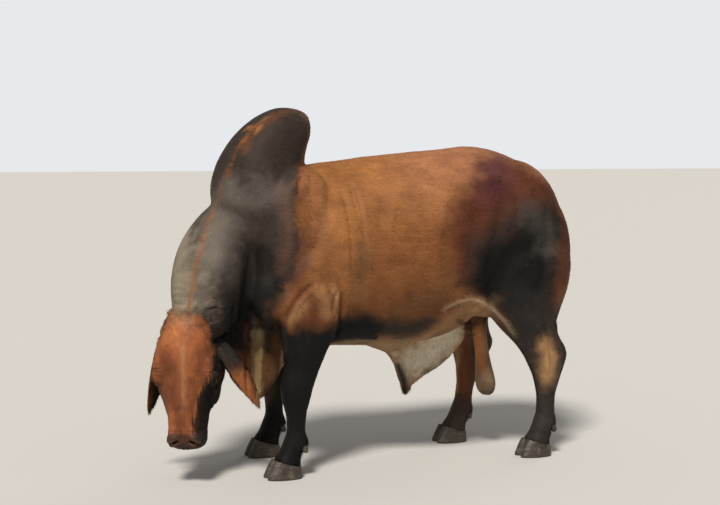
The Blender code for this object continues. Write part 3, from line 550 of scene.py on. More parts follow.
# outlined in the picture and laid through the body from the side: colour, share, softness
patches = [
    # painted highlight: a faint lighter tan band on the shoulder
    ("tan", 0.05, 0.10, [(308, 195), (342, 188), (354, 240), (350, 300), (312, 300), (304, 250)]),
    ("maroon", 0.22, 0.09, [(350, 225), (452, 218), (462, 262), (440, 300), (372, 306), (354, 262)]),
    ("maroon", 0.95, 0.070, [(466, 180), (488, 156), (512, 158), (530, 166), (548, 182), (566, 215), (571, 262),
        (558, 300), (530, 335), (505, 318), (486, 302), (464, 292), (448, 262), (446, 225), (455, 198)]),
    ("purple", 0.85, 0.06, [(478, 168), (494, 158), (510, 166), (508, 190), (490, 205), (474, 195)]),
    ("dark", 0.82, 0.070, [(505, 218), (530, 206), (552, 204), (562, 228), (558, 262), (548, 296), (552, 330),
        (530, 345), (508, 326), (490, 302), (470, 286), (466, 256), (482, 230)]),
    ("black", 0.95, 0.045, [(530, 216), (548, 210), (560, 224), (560, 244), (551, 264), (547, 304), (532, 332),
        (509, 324), (486, 304), (473, 282), (478, 254), (500, 243), (518, 232)]),
    ("tan", 0.60, 0.05, [(338, 346), (360, 342), (385, 338), (405, 342), (452, 312), (470, 300), (492, 306),
        (500, 318), (470, 340), (430, 352), (395, 352)]),
    ("dark", 0.95, 0.085, [(503, 308), (518, 292), (560, 296), (580, 330), (576, 470), (500, 470), (512, 350)]),
    # painted shadow: a dark band along the lower barrel, above the belly's edge
    ("dark", 0.95, 0.040, [(338, 322), (375, 318), (410, 320), (436, 322), (420, 334), (380, 338), (345, 342)]),
    ("dark", 0.96, 0.05, [(160, 250), (200, 200), (206, 150), (240, 112), (272, 96), (312, 102), (324, 130),
        (311, 157), (300, 184), (301, 212), (302, 250), (296, 276), (282, 296), (266, 316), (258, 345),
        (160, 352)]),
    # the throat's dark hair, made blacker as painted shade under the neck
    ("black", 0.74, 0.040, [(243, 250), (262, 245), (288, 256), (290, 276), (274, 296), (254, 312), (248, 352),
        (225, 352), (222, 300), (236, 275)]),
]


def sideOutline(line):
    found = []
    for px, py in line:
        place = onSkin(px, py) or atDepth(px, py, -0.15)
        found.append((place.x, place.z))
    return np.array(found)


def insideBy(places, outline):
    best = np.full(len(places), np.inf)
    inside = np.zeros(len(places), bool)
    x, z = places.T
    for (ax, az), (bx, bz) in zip(outline, np.roll(outline, -1, axis=0)):
        step = np.array([bx - ax, bz - az])
        t = np.clip(((x - ax) * step[0] + (z - az) * step[1]) / max(step @ step, 1e-12), 0, 1)
        best = np.minimum(best, np.hypot(x - ax - t * step[0], z - az - t * step[1]))
        crosses = (az > z) != (bz > z)
        at = ax + (z - az) / (bz - az if bz != az else 1e-9) * (bx - ax)
        inside ^= crosses & (x < at)
    return np.where(inside, best, -best)


# soft lines laid on the skin: colour, share, radius, points in the picture, on the far side too
marks = [
    # greyer hair on the neck and hump base, with a painted sheen of sky light
    ("ash", 0.42, 0.085, [(182, 240), (178, 262), (176, 288), (180, 305)], False),
    ("grey", 0.50, 0.085, [(224, 205), (216, 235), (210, 258)], False),
    ("grey", 0.50, 0.065, [(226, 188), (244, 206), (264, 192)], False),
    ("taupe", 0.55, 0.038, [(284, 190), (288, 215), (287, 245), (283, 268)], False),
    ("rust", 0.88, 0.0095, [(187, 318), (190, 300), (195, 270), (205, 232), (218, 200), (228, 170), (236, 152),
        (245, 136)], False),
    ("orange", 0.30, 0.011, [(243, 142), (250, 130), (260, 122), (272, 114)], False),
    ("rust", 0.40, 0.022, [(244, 150), (256, 128), (284, 111)], False),
    ("orange", 0.60, 0.009, [(246, 128), (251, 127)], False),
    ("orange", 0.50, 0.009, [(257, 131), (260, 126)], False),
    ("rust", 0.80, 0.030, [(569, 215), (573, 245), (574, 275), (567, 296)], True),
    ("red", 0.60, 0.014, [(304, 162), (300, 178), (301, 194)], True),
    ("maroon", 0.42, 0.030, [(304, 190), (306, 225), (304, 262), (296, 290)], True),
    # painted highlight on the shoulder
    ("tan", 0.08, 0.030, [(318, 200), (322, 240), (314, 280)], True),
    ("maroon", 0.40, 0.050, [(300, 318), (318, 316), (330, 308)], True),
    # painted highlight along the ridge at the back of the arm
    ("tan", 0.65, 0.014, [(334, 288), (339, 302), (335, 320)], True),
    # painted highlights in tan on the arm muscles, with a darker maroon line between them
    ("tan", 0.40, 0.024, [(289, 321), (297, 313), (304, 306)], True),
    ("tan", 0.36, 0.028, [(320, 290), (328, 303), (326, 314)], True),
    ("maroon", 0.45, 0.020, [(311, 296), (313, 322)], True),
    ("dark", 0.80, 0.020, [(283, 327), (285, 350)], True),
    # painted shade along the arm muscle's fold
    ("maroon", 0.60, 0.012, [(284, 324), (290, 308), (301, 294)], True),
    ("tan", 0.12, 0.010, [(354, 184), (362, 208), (366, 240)], True),
    # painted highlight on the top of the shoulder blade
    ("roseHighlight", 0.20, 0.045, [(318, 186), (322, 208), (320, 232)], True),
    # painted shade below the back of the elbow
    ("umberShade", 0.42, 0.042, [(362, 250), (360, 272), (358, 296)], True),
    # painted shade low on the flank
    ("umberShade", 0.34, 0.070, [(398, 314), (424, 304), (446, 286)], True),
    # greyer hair on the neck, with a painted sheen
    ("ash", 0.11, 0.060, [(212, 205), (209, 232), (205, 262), (201, 300)], False),
    # greyer hair on the upper thigh, with a painted sheen
    ("grey", 0.26, 0.070, [(530, 214), (547, 224), (546, 246)], True),
    ("pale", 0.42, 0.010, [(444, 309), (458, 302), (472, 299), (488, 305), (503, 320), (515, 336)], True),
    # painted light: a lighter strip along the belly's lower edge
    ("khaki", 0.75, 0.022, [(340, 343), (356, 341), (371, 341), (386, 345), (396, 351)], False),
    # the sheath's pale skin, made lighter in cream as painted light
    ("pale", 0.75, 0.060, [(408, 362), (426, 350), (446, 336)], False),
    ("cream", 0.88, 0.060, [(412, 362), (438, 346), (452, 334)], False),
    ("black", 0.90, 0.020, [(398, 366), (403, 378), (405, 388)], False),
    ("pink", 0.75, 0.007, [(403, 391), (407, 391)], False),
    # the far foreleg behind the dewlap: its dark hair with painted shade
    ("umberShade", 0.60, 0.026, [(277, 335), (276, 352), (272, 378), (268, 398)], False),
    # the dewlap's tan hair, lighter on its lit pleat as painted light
    ("khaki", 0.80, 0.030, [(258, 335), (257, 355), (257, 380), (258, 402)], False),
    ("maroon", 0.75, 0.012, [(246, 325), (244, 355), (246, 395)], False),
    ("dark", 0.80, 0.020, [(268, 318), (268, 350)], False),
    ("orange", 0.85, 0.028, [(478, 330), (479, 350), (480, 366)], False),
    ("dark", 0.60, 0.045, [(486, 386), (488, 396)], False),
    ("maroon", 0.80, 0.012, [(458, 320), (468, 326), (476, 324)], False),
    ("tan", 0.74, 0.045, [(546, 344), (550, 360), (548, 376)], True),
    ("rust", 0.70, 0.050, [(466, 345), (465, 365), (465, 388)], False),
    ("tan", 0.60, 0.024, [(457, 348), (456, 366), (456, 388)], False),
    ("tan", 0.22, 0.020, [(548, 346), (551, 356)], True),
    ("dark", 0.85, 0.016, [(560, 334), (566, 350), (563, 366)], True),
]
# on the face: colour, share, radius, points outward, forward and down on its left, and on the right too
faceMarks = [
    ("orange", 0.45, 0.050, [(-0.06, 0.0, 0.02), (-0.09, 0.0, 0.08)], False),
    ("orange", 0.65, 0.014, [(-0.030, 0.0, 0.075), (-0.028, 0.0, 0.080)], False),
    # painted highlight along the forehead and the bridge of the nose
    ("tan", 0.35, 0.012, [(0.005, 0.02, 0.14), (0.004, 0.0, 0.30), (0.0, 0.0, 0.42)], False),
    ("maroon", 0.45, 0.040, [(0.085, 0.0, 0.17), (0.080, 0.0, 0.24)], True),
    ("maroon", 0.40, 0.045, [(0.0, 0.0, 0.42), (0.0, 0.0, 0.52)], False),
    ("maroon", 0.45, 0.030, [(0.04, 0.0, 0.30), (0.035, 0.0, 0.40)], True),
    # the near cheek's dark hair, with painted shade on the side of the face
    ("black", 0.95, 0.030, [(0.145, -0.04, 0.19), (0.142, -0.045, 0.25), (0.138, -0.05, 0.31),
        (0.115, -0.06, 0.37), (0.10, -0.09, 0.43)], False),
    ("black", 0.90, 0.055, [(0.155, -0.12, 0.22), (0.155, -0.13, 0.30), (0.13, -0.15, 0.38)], False),
    ("dark", 0.85, 0.018, [(0.132, -0.05, 0.262), (0.132, -0.05, 0.298)], True),
    ("maroon", 0.50, 0.060, [(-0.155, -0.14, 0.24), (-0.14, -0.16, 0.34)], False),
    ("dark", 0.80, 0.022, [(0.0, -0.06, 0.585), (0.045, -0.06, 0.575), (0.075, -0.09, 0.55)], True),
    ("black", 0.90, 0.009, [(0.028, -0.024, 0.549), (0.042, -0.028, 0.556), (0.056, -0.045, 0.550),
        (0.059, -0.056, 0.541)], True),
    ("black", 0.80, 0.007, [(0.0, -0.130, 0.60), (0.040, -0.130, 0.585), (0.070, -0.131, 0.54),
        (0.084, -0.134, 0.48), (0.088, -0.138, 0.44)], True),
    ("tan", 0.45, 0.022, [(0.0, -0.155, 0.57), (0.05, -0.155, 0.54)], True),
]
# on the head, outlined in the picture: colour, share, softness in its pixels, on its near or far side
headAreas = [
    ("maroon", 0.45, 5.0, 1, [(203, 338), (214, 344), (216, 358), (208, 372), (202, 388), (198, 372), (200, 352)]),
    ("maroon", 0.45, 6.0, -1, [(156, 356), (172, 352), (180, 372), (178, 398), (166, 418), (148, 404), (148, 372)]),
    ("maroon", 0.40, 5.0, -1, [(186, 398), (198, 396), (200, 425), (176, 430), (172, 405)]),
    # the near side of the face: dark hair with painted shade
    ("black", 0.96, 2.6, 1, [(214, 356), (212, 371), (206, 382), (200, 393), (197, 406), (192, 425), (196, 438),
        (206, 446), (250, 446), (240, 396), (233, 376), (226, 360), (220, 350)]),
]
# on the near and the far ear: colour, share, radius, points in the picture
earMarks = {
    "left": [
        ("rust", 0.90, 0.070, [(240, 376), (245, 388), (250, 400)]),
        ("red", 0.60, 0.034, [(240, 378), (245, 388), (250, 400)]),
        ("dark", 0.97, 0.062, [(205, 326), (214, 334), (226, 346), (231, 355)]),
        ("black", 0.50, 0.025, [(214, 340), (222, 352), (228, 364)]),
        ("dark", 0.85, 0.016, [(256, 406), (259, 412)]),
    ],
    "right": [
        # the far ear's hollow, its dark inner side with painted shade
        ("black", 0.96, 0.036, [(157, 385), (158, 396), (153, 408)]),
        # painted rim light along the far ear's outer edge
        ("orange", 0.90, 0.012, [(150, 376), (147, 390), (145, 404)]),
    ],
}


print("markings ready")


def pictured(points):
    turned = (points - np.array(eyePoint)) @ np.array(viewAxes)
    return np.array(view["middle"]) + view["focal"] * turned[:, :2] * np.array([1, -1]) / -turned[:, 2:]


def paintBody(points, blend):
    height, along = points[:, 2], points[:, 0]
    outward = np.abs(points[:, 1])
    wobble = 0.020 * roughNoise(points, 0.10, 21) + 0.008 * roughNoise(points, 0.025, 22)

    def below(waviness, low, high):
        return smoothStep(waviness * wobble - height, -high, -low)

    # painted highlight: the top of the back is lighter, more so towards the rear
    back = smoothStep(height + 2 * wobble, 1.08, 1.40)
    blend("roseHighlight", 0.38 * back * smoothStep(along + 2 * wobble, -0.15, 0.40))
    # painted shade: the barrel darker in maroon towards the bottom, in two steps
    low = 0.36 * below(2.5, 0.98, 1.24) + 0.34 * below(1.5, 0.62, 0.95)
    blend("maroon", low * (np.abs(along) < 0.75))
    under = below(1, 0.55, 0.66) * (along > -0.42) * (outward < 0.33)
    blend("pale", 0.34 * under * (along < 0.86))
    for name, share, soft, outline in sidePatches:
        blend(name, share * smoothStep(insideBy(points[:, [0, 2]], outline) + 1.3 * wobble, -soft, soft))
    outer = smoothStep(outward + 0.5 * wobble, 0.10, 0.14)
    blend("black", 0.99 * below(2.2, 0.64, 0.76) * (along < 0.0) * outer)
    blend("dark", 0.85 * below(3, 0.42, 0.74) * (along > 0.28) * outer)


def paintHead(points, blend):
    local = inHead(points)
    aside = np.abs(local[:, 0])
    streaks = 0.012 * roughNoise(points, (0.010, 0.010, 0.06), 25)
    down, out = local[:, 2] + streaks, local[:, 1]
    crown = 0.006 + 1.55 * np.maximum(aside - 0.068, 0)
    onFace = smoothStep(down - crown, -0.008, 0.010) * (points[:, 2] < 0.82)
    onFace *= smoothStep(0.235 - aside, 0, 0.02) * smoothStep(out + streaks, -0.16, -0.12)
    blend("red", onFace)
    jaw = smoothStep(down, 0.16, 0.20) * smoothStep(out, -0.34, -0.31) * (points[:, 2] < 0.7)
    jaw *= smoothStep(0.20 - aside, 0, 0.02)
    blend("red", np.where(onFace > 0.9, 0, jaw))
    flat = pictured(points)
    onHead = (local[:, 2] > 0.09) * (out > -0.36) * (aside < 0.20) * (points[:, 2] < 0.7)
    for name, share, soft, side, line in headAreas:
        mask = smoothStep(insideBy(flat, np.array(line, float)) + 260 * streaks, -soft, soft)
        blend(name, share * mask * (side * local[:, 0] > -0.01) * onHead)
    muzzle = smoothStep(down, 0.500, 0.530) * (points[:, 2] < 0.3)
    blend("dark", 0.88 * muzzle * onHead)


def paintMarks(points, blend):
    ragged = roughNoise(points, 0.022, 24)
    for name, share, radius, path, ear in markPaths:
        chosen = near(points, path, radius * 2.6)
        unevenness = 1 + min(0.35, 8 * radius) * ragged[chosen]
        distance = nearest(points[chosen], path)[0] * unevenness / radius
        full = np.zeros(len(points))
        full[chosen] = share * np.exp(-(distance**2.5))
        if ear is not None:
            full *= inBox(points, ear, 0.012)
        blend(name, full)


def paint(points):
    colour = np.tile(np.array(coat["barrel"]), (len(points), 1))
    patchy = 0.16 * roughNoise(points, (0.16, 0.10, 0.20), 23)
    patchy += 0.10 * roughNoise(points, (0.05, 0.03, 0.04), 26)
    colour *= (1 + patchy)[:, None]

    def blend(name, share):
        colour[:] += (np.array(coat[name]) - colour) * np.clip(share, 0, 1)[:, None]

    paintBody(points, blend)
    paintHead(points, blend)
    paintMarks(points, blend)
    return np.clip(colour, 0.004, 1.0)


sidePatches = [(name, share, soft, sideOutline(line)) for name, share, soft, line in patches]
markPaths = []


def addMark(name, share, radius, path, ear=None):
    if len(path) > 1:
        markPaths.append((name, share, radius, path, ear))


def layMarks():
    for name, share, radius, line, both in marks:
        path = laid(line)
        addMark(name, share, radius, path)
        if both:
            addMark(name, share, radius, otherSide(path))
    for name, share, radius, line, both in faceMarks:
        addMark(name, share, radius, headLine(line))
        if both:
            addMark(name, share, radius, headLine([(-a, b, c) for a, b, c in line]))
    for word, lines in earMarks.items():
        for name, share, radius, line in lines:
            addMark(name, share, radius, laid(line), "ear_" + word)


layMarks()


def setAttribute(mesh, name, kind, values):
    layer = mesh.attributes.new(name, kind, "POINT")
    if kind == "FLOAT_COLOR":
        rgba = np.ones((len(values), 4), np.float32)
        rgba[:, :3] = values
        layer.data.foreach_set("color", rgba.ravel())
    else:
        layer.data.foreach_set("value", values.astype(np.float32))


def lieOf(points):
    local = inHead(points)
    legs = smoothStep(-points[:, 2], -0.78, -0.62)
    face = smoothStep(local[:, 2], -0.05, 0.02) * (points[:, 0] < -0.5)
    neck = smoothStep(-points[:, 0], 0.50, 0.64)
    return np.clip(legs + face + neck, 0, 1)


skinPoints = verticesOf(skin.data)
setAttribute(skin.data, "coat", "FLOAT_COLOR", paint(skinPoints))
setAttribute(skin.data, "lie", "FLOAT", lieOf(skinPoints))
print("skin painted")


# materials
def link(tree, out, into):
    tree.links.new(out, into)


def node(tree, kind, **values):
    made = tree.nodes.new(kind)
    for name, value in values.items():
        setattr(made, name, value)
    return made


def noiseAt(tree, vector, scale, detail=3.0, rough=0.55):
    stretch = node(tree, "ShaderNodeMapping")
    stretch.inputs["Scale"].default_value = scale
    link(tree, vector, stretch.inputs["Vector"])
    made = node(tree, "ShaderNodeTexNoise")
    made.inputs["Scale"].default_value = 1.0
    made.inputs["Detail"].default_value = detail
    made.inputs["Roughness"].default_value = rough
    link(tree, stretch.outputs["Vector"], made.inputs["Vector"])
    return made.outputs["Fac"]


def feed(tree, value, into):
    if isinstance(value, bpy.types.NodeSocket):
        link(tree, value, into)
    else:
        into.default_value = value


def mixed(tree, share, a, b, kind="FLOAT"):
    made = node(tree, "ShaderNodeMix", data_type=kind)
    slots = {"FLOAT": (0, 2, 3, 0), "RGBA": (0, 6, 7, 2)}[kind]
    for socket, value in zip(slots[:3], (share, a, b)):
        feed(tree, value, made.inputs[socket])
    return made.outputs[slots[3]]


def maths(tree, kind, *values):
    made = node(tree, "ShaderNodeMath", operation=kind)
    for k, value in enumerate(values):
        feed(tree, value, made.inputs[k])
    return made.outputs[0]


def times(tree, a, b):
    return maths(tree, "MULTIPLY", a, b)


def plus(tree, a, b):
    return maths(tree, "ADD", a, b)


def radiusOf(tree, u, v):
    return maths(tree, "SQRT", plus(tree, times(tree, u, u), times(tree, v, v)))


def remap(tree, value, low, high, toLow, toHigh):
    made = node(tree, "ShaderNodeMapRange")
    link(tree, value, made.inputs["Value"])
    for name, number in zip(("From Min", "From Max", "To Min", "To Max"), (low, high, toLow, toHigh)):
        made.inputs[name].default_value = number
    return made.outputs["Result"]


def surfaceGroup(name, *outputs):
    tree = bpy.data.node_groups.new(name, "ShaderNodeTree")
    for output in outputs:
        kind = "Color" if output == "Color" else "Float"
        tree.interface.new_socket(output, in_out="OUTPUT", socket_type="NodeSocket" + kind)
    return tree, node(tree, "NodeGroupOutput")


def placeIn(tree):
    return node(tree, "ShaderNodeTexCoord").outputs["Object"]


# short hair: streaks along the body or down the limbs, clumps, and soft mottling
def hairGroup():
    tree, out = surfaceGroup("shortHair", "Color", "Roughness", "Height")
    tree.interface.new_socket("Coat", in_out="INPUT", socket_type="NodeSocketColor")
    tree.interface.new_socket("Lie", in_out="INPUT", socket_type="NodeSocketFloat")
    into = node(tree, "NodeGroupInput")
    place = placeIn(tree)
    lie = into.outputs["Lie"]
    fine = mixed(tree, lie, noiseAt(tree, place, (70, 520, 620)), noiseAt(tree, place, (560, 560, 75)))
    clump = mixed(tree, lie, noiseAt(tree, place, (16, 60, 120)), noiseAt(tree, place, (110, 110, 20)))
    mottle = noiseAt(tree, place, (9, 9, 11), 4.0, 0.62)
    speck = noiseAt(tree, place, (300, 300, 300), 2.0)
    streak = plus(tree, times(tree, fine, 0.45), times(tree, clump, 0.55))
    tips = remap(tree, fine, 0.45, 0.80, 0.92, 1.30)
    soft = times(tree, remap(tree, streak, 0.30, 0.70, 0.84, 1.16), remap(tree, mottle, 0.3, 0.7, 0.80, 1.20))
    shade = times(tree, tips, soft)
    tinted = node(tree, "ShaderNodeVectorMath", operation="SCALE")
    link(tree, into.outputs["Coat"], tinted.inputs[0])
    link(tree, shade, tinted.inputs["Scale"])
    link(tree, tinted.outputs["Vector"], out.inputs["Color"])
    rough = remap(tree, plus(tree, clump, times(tree, mottle, 0.6)), 0.5, 1.1, 0.44, 0.66)
    link(tree, rough, out.inputs["Roughness"])
    height = plus(tree, times(tree, fine, 0.5), times(tree, clump, 0.9))
    link(tree, plus(tree, height, times(tree, speck, 0.12)), out.inputs["Height"])
    return tree


def newMaterial(name):
    material = bpy.data.materials.new(name)
    material.use_nodes = True
    return material, material.node_tree, material.node_tree.nodes["Principled BSDF"]


def bumped(tree, shader, height, strength, distance):
    bump = node(tree, "ShaderNodeBump")
    bump.inputs["Strength"].default_value = strength
    bump.inputs["Distance"].default_value = distance
    link(tree, height, bump.inputs["Height"])
    link(tree, bump.outputs["Normal"], shader.inputs["Normal"])


def groupMaterial(name, group, strength=None, distance=None):
    material, tree, shader = newMaterial(name)
    used = node(tree, "ShaderNodeGroup", node_tree=group)
    link(tree, used.outputs["Color"], shader.inputs["Base Color"])
    link(tree, used.outputs["Roughness"], shader.inputs["Roughness"])
    if strength is not None:
        bumped(tree, shader, used.outputs["Height"], strength, distance)
    return material, used, shader


hair = hairGroup()


def coatMaterial(name, bump):
    material, used, shader = groupMaterial(name, hair, bump, 0.002)
    for attribute, value, into in (("coat", "Color", "Coat"), ("lie", "Fac", "Lie")):
        read = node(material.node_tree, "ShaderNodeAttribute", attribute_name=attribute)
        link(material.node_tree, read.outputs[value], used.inputs[into])
    shader.inputs["Specular IOR Level"].default_value = 0.08
    return material


skinMaterial = coatMaterial("short hair coat", 0.45)
skin.data.materials.clear()
skin.data.materials.append(skinMaterial)
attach(skin, "root")
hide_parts(*flesh)


# coat: thin solid tufts that lie along the hair, in the colour of the skin at their roots
earHang = {"left": (0.61, -0.08, 0.79), "right": (-0.13, -0.42, 0.90)}


def lieDirection(points):
    local = inHead(points)
    back = np.tile(np.array([0.93, 0.0, -0.36]), (len(points), 1))
    legs = smoothStep(-points[:, 2], -0.80, -0.62)[:, None]
    back += (np.array([0.12, 0.0, -1.0]) - back) * legs
    neck = smoothStep(-points[:, 0], 0.42, 0.60)[:, None] * (points[:, 2] > 0.6)[:, None]
    back += (np.array([0.66, 0.10, 0.10]) - back) * neck
    whorl = local - np.array([0.0, 0.0, 0.12])
    whorl[:, 1] *= 0.2
    whorl /= np.maximum(np.linalg.norm(whorl, axis=1), 1e-6)[:, None]
    whorl[:, 2] += 0.45
    face = (smoothStep(local[:, 2], -0.03, 0.02) * (local[:, 1] > -0.30) * (np.abs(local[:, 0]) < 0.24))[:, None]
    back += (whorl @ headTurn.T - back) * face
    for word, hang in earHang.items():
        back[inBox(points, "ear_" + word, 0.006)] = np.array(headFrame.to_3x3() @ Vector(hang))
    return back


# the skin seen from six sides, in a grid of three by two
def unwrap(points, normals):
    size = 2.3
    axis = np.argmax(np.abs(normals), axis=1)
    sign = (normals[np.arange(len(points)), axis] > 0).astype(int)
    fromEnd, fromSide, fromTop = ((axis == k)[:, None] for k in range(3))
    flat = np.where(fromSide, points[:, [0, 2]], points[:, [0, 1]])
    flat = np.where(fromEnd, points[:, [1, 2]], flat)
    flat = (flat + np.where(fromTop, np.array([1.15, 1.15]), np.array([1.15, 0.3]))) / size
    return (np.stack([axis, sign], axis=1) + 0.03 + 0.94 * np.clip(flat, 0, 1)) / np.array([3.0, 2.0])


def scatter(points, normals, faces, weight, count, rng):
    corners = points[faces]
    area = 0.5 * np.linalg.norm(np.cross(corners[:, 1] - corners[:, 0], corners[:, 2] - corners[:, 0]), axis=1)
    share = area * weight[faces].mean(axis=1)
    chosen = rng.choice(len(faces), count, p=share / share.sum())
    a, b = rng.random((2, count))
    flip = a + b > 1
    a[flip], b[flip] = 1 - a[flip], 1 - b[flip]
    mix = np.stack([1 - a - b, a, b], axis=1)[:, :, None]
    root = (points[faces[chosen]] * mix).sum(axis=1)
    normal = (normals[faces[chosen]] * mix).sum(axis=1)
    return root, normal / np.linalg.norm(normal, axis=1)[:, None]


# places along a tuft with the share of its width there, and the corners of its section
tuftForm = {
    "short": ((0.0, 0.8), (0.5, 1.0)),
    "long": ((0.0, 0.75), (0.38, 1.0), (0.74, 0.62)),
    "corners": (math.pi / 2, math.pi * 7 / 6, math.pi * 11 / 6),
    "flatness": 0.10,
    "sunk": 0.0004,
    "stray": 0.13,
    "lengths": (0.65, 1.15),
    "widths": (0.75, 1.2),
    "lifts": (0.5, 1.3),
    "shades": (0.88, 1.18),
    "bakePatch": 0.003,
    "perPiece": 12000,
    "seed": 100,
}


def tuftPoints(root, normal, along, look, rng):
    count = len(root)
    across = np.cross(normal, along)
    length = look["length"] * rng.uniform(*tuftForm["lengths"], count)
    width = look["width"] * rng.uniform(*tuftForm["widths"], count)
    lift = look["lift"] * rng.uniform(*tuftForm["lifts"], count)
    drop = look.get("drop", 0.0) * length
    rings, facing = [], []
    for t, wide in tuftForm["short" if look.get("short") else "long"]:
        rise = lift * length * (t - 0.35 * t * t) - tuftForm["sunk"]
        middle = root + along * (length * t)[:, None] + normal * rise[:, None]
        middle[:, 2] -= drop * t * t
        for turn in tuftForm["corners"]:
            side = across * (math.cos(turn) * wide * width / 1.7)[:, None]
            rings.append(middle + side + normal * (math.sin(turn) * wide * width * tuftForm["flatness"])[:, None])
            facing.append(normal + across * 0.30 * math.cos(turn))
    tip = root + along * length[:, None] + normal * (lift * length * 0.65)[:, None]
    tip[:, 2] -= drop
    return np.stack([*rings, tip], axis=1), np.stack([*facing, normal + 0.15 * along], axis=1)


def tuftFaces(each):
    last = each - 4
    faces = [(0, 2, 1)]
    for row in range(0, last, 3):
        faces += [(row + k, row + (k + 1) % 3, row + 3 + (k + 1) % 3, row + 3 + k) for k in range(3)]
    return faces + [(last + k, last + (k + 1) % 3, last + 3) for k in range(3)]


def repeatedMesh(name, points, faces, count):
    corners = np.array([k for face in faces for k in face])
    sizes = np.tile([len(face) for face in faces], count)
    loops = (np.arange(count)[:, None] * (len(points) // count) + corners[None, :]).ravel()
    starts = np.concatenate([[0], np.cumsum(sizes)[:-1]])
    mesh = bpy.data.meshes.new(name)
    mesh.vertices.add(len(points))
    mesh.loops.add(len(loops))
    mesh.polygons.add(len(starts))
    mesh.vertices.foreach_set("co", points.astype(np.float32).ravel())
    mesh.loops.foreach_set("vertex_index", loops.astype(np.int32))
    mesh.polygons.foreach_set("loop_start", starts.astype(np.int32))
    mesh.update(calc_edges=True)
    mesh.shade_smooth()
    return mesh, corners


def tuftMesh(name, root, normal, look, rng, lie=None):
    count = len(root)
    along = lieDirection(root) if lie is None else lie
    along = along + look.get("stray", tuftForm["stray"]) * rng.normal(size=(count, 3))
    along -= normal * np.einsum("ij,ij->i", along, normal)[:, None]
    along /= np.maximum(np.linalg.norm(along, axis=1), 1e-6)[:, None]
    points, facing = tuftPoints(root, normal, along, look, rng)
    each = points.shape[1]
    facing = facing.reshape(-1, 3)
    facing /= np.linalg.norm(facing, axis=1)[:, None]
    mesh, corners = repeatedMesh(name, points.reshape(-1, 3), tuftFaces(each), count)
    # lit like the skin under it
    mesh.normals_split_custom_set_from_vertices(facing.tolist())
    spot = np.array([(0.25 + 0.25 * (k % 3), 0.1 + 0.25 * (k // 3)) for k in range(each - 1)] + [(0.5, 0.9)]) - 0.5
    uv = np.repeat(unwrap(root, normal), len(corners), axis=0)
    uv += tuftForm["bakePatch"] * spot[np.tile(corners, count)]
    layer = mesh.uv_layers.new(name="OFBake")
    layer.data.foreach_set("uv", uv.astype(np.float32).ravel())
    shade = rng.uniform(*tuftForm["shades"], count)[:, None]
    colour = np.repeat(paint(root) * shade, each, axis=0)
    setAttribute(mesh, "coat", "FLOAT_COLOR", np.clip(colour, 0.004, 1))
    setAttribute(mesh, "lie", "FLOAT", np.repeat(lieOf(root), each))
    return mesh


tuftLooks = {
    "trunk": {"count": 38000, "length": 0.018, "width": 0.0034, "lift": 0.075, "short": True},
    "front": {"count": 17000, "length": 0.015, "width": 0.0032, "lift": 0.085, "short": True},
    "legs": {"count": 15000, "length": 0.014, "width": 0.0028, "lift": 0.095, "short": True},
    "face": {"count": 17000, "length": 0.010, "width": 0.0017, "lift": 0.110, "short": True},
    "ears": {"count": 7500, "length": 0.020, "width": 0.0016, "lift": 0.16, "drop": 0.15},
    "poll": {"count": 4200, "length": 0.024, "width": 0.0014, "lift": 0.17, "drop": 0.1, "stray": 0.24},
    "feet": {"count": 5200, "length": 0.028, "width": 0.0022, "lift": 0.20, "drop": 0.2},
    "sheath": {"count": 900, "length": 0.026, "width": 0.0018, "lift": 0.35, "drop": 0.5},
    "tailEnd": {"count": 1800, "length": 0.050, "width": 0.0024, "lift": 0.10, "drop": 0.1},
    "brisket": {"count": 2600, "length": 0.022, "width": 0.0022, "lift": 0.18, "drop": 0.3},
}


# where the groups of tufts end, in metres from the floor and the middle, or in the head's own axes
coatLimits = {
    "legTop": 0.64,
    "hindLegs": 0.30,
    "foreLegs": -0.10,
    "legsInside": 0.10,
    "front": -0.22,
    "headTop": 0.80,
    "coronet": 0.115,
    "pastern": 0.20,
    "tailEnd": (0.60, 0.74),
    "sheathTip": 0.345,
    "brisket": (0.40, 0.46),
    "muzzle": 0.515,
    "mouth": (0.43, -0.13, 0.012),
    "eyeRim": (0.026, 0.034),
}


def headTufts(points):
    local = inHead(points)
    sideways = np.abs(local[:, 0])
    onHead = (local[:, 2] > -0.02) & (local[:, 1] > -0.32) & (sideways < 0.19)
    onHead &= points[:, 2] < coatLimits["headTop"]
    ears = inBox(points, "ear_left", 0.004) | inBox(points, "ear_right", 0.004)
    ears &= (sideways > 0.150) | (local[:, 2] < 0.1)
    eyes = np.ones(len(points))
    for word in ("left", "right"):
        low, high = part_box("eye_" + word)
        eyes *= smoothStep(np.linalg.norm(points - np.array((low + high) / 2), axis=1), *coatLimits["eyeRim"])
    corner, line, half = coatLimits["mouth"]
    bare = (local[:, 2] > coatLimits["muzzle"]) | ((local[:, 2] > corner) & (np.abs(local[:, 1] - line) < half))
    poll = smoothStep(0.046 - np.abs(local[:, 2] - 0.010 - 1.2 * np.maximum(sideways - 0.06, 0)), 0, 0.035)
    poll *= smoothStep(0.115 - sideways, 0, 0.03) * (local[:, 1] > -0.10)
    return onHead, ears, {"face": (onHead & ~bare & ~ears) * eyes, "ears": ears * 1.0, "poll": poll * ~ears}


def clearOfFolds(points):
    clear = np.ones(len(points))
    for name, _, radius, line, _ in folds:
        if "behind the shoulder" in name:
            for path in (laid(line), otherSide(laid(line))):
                chosen = near(points, path, 4 * radius)
                clear[chosen] *= smoothStep(nearest(points[chosen], path)[0], 1.1 * radius, 2.6 * radius)
    return clear


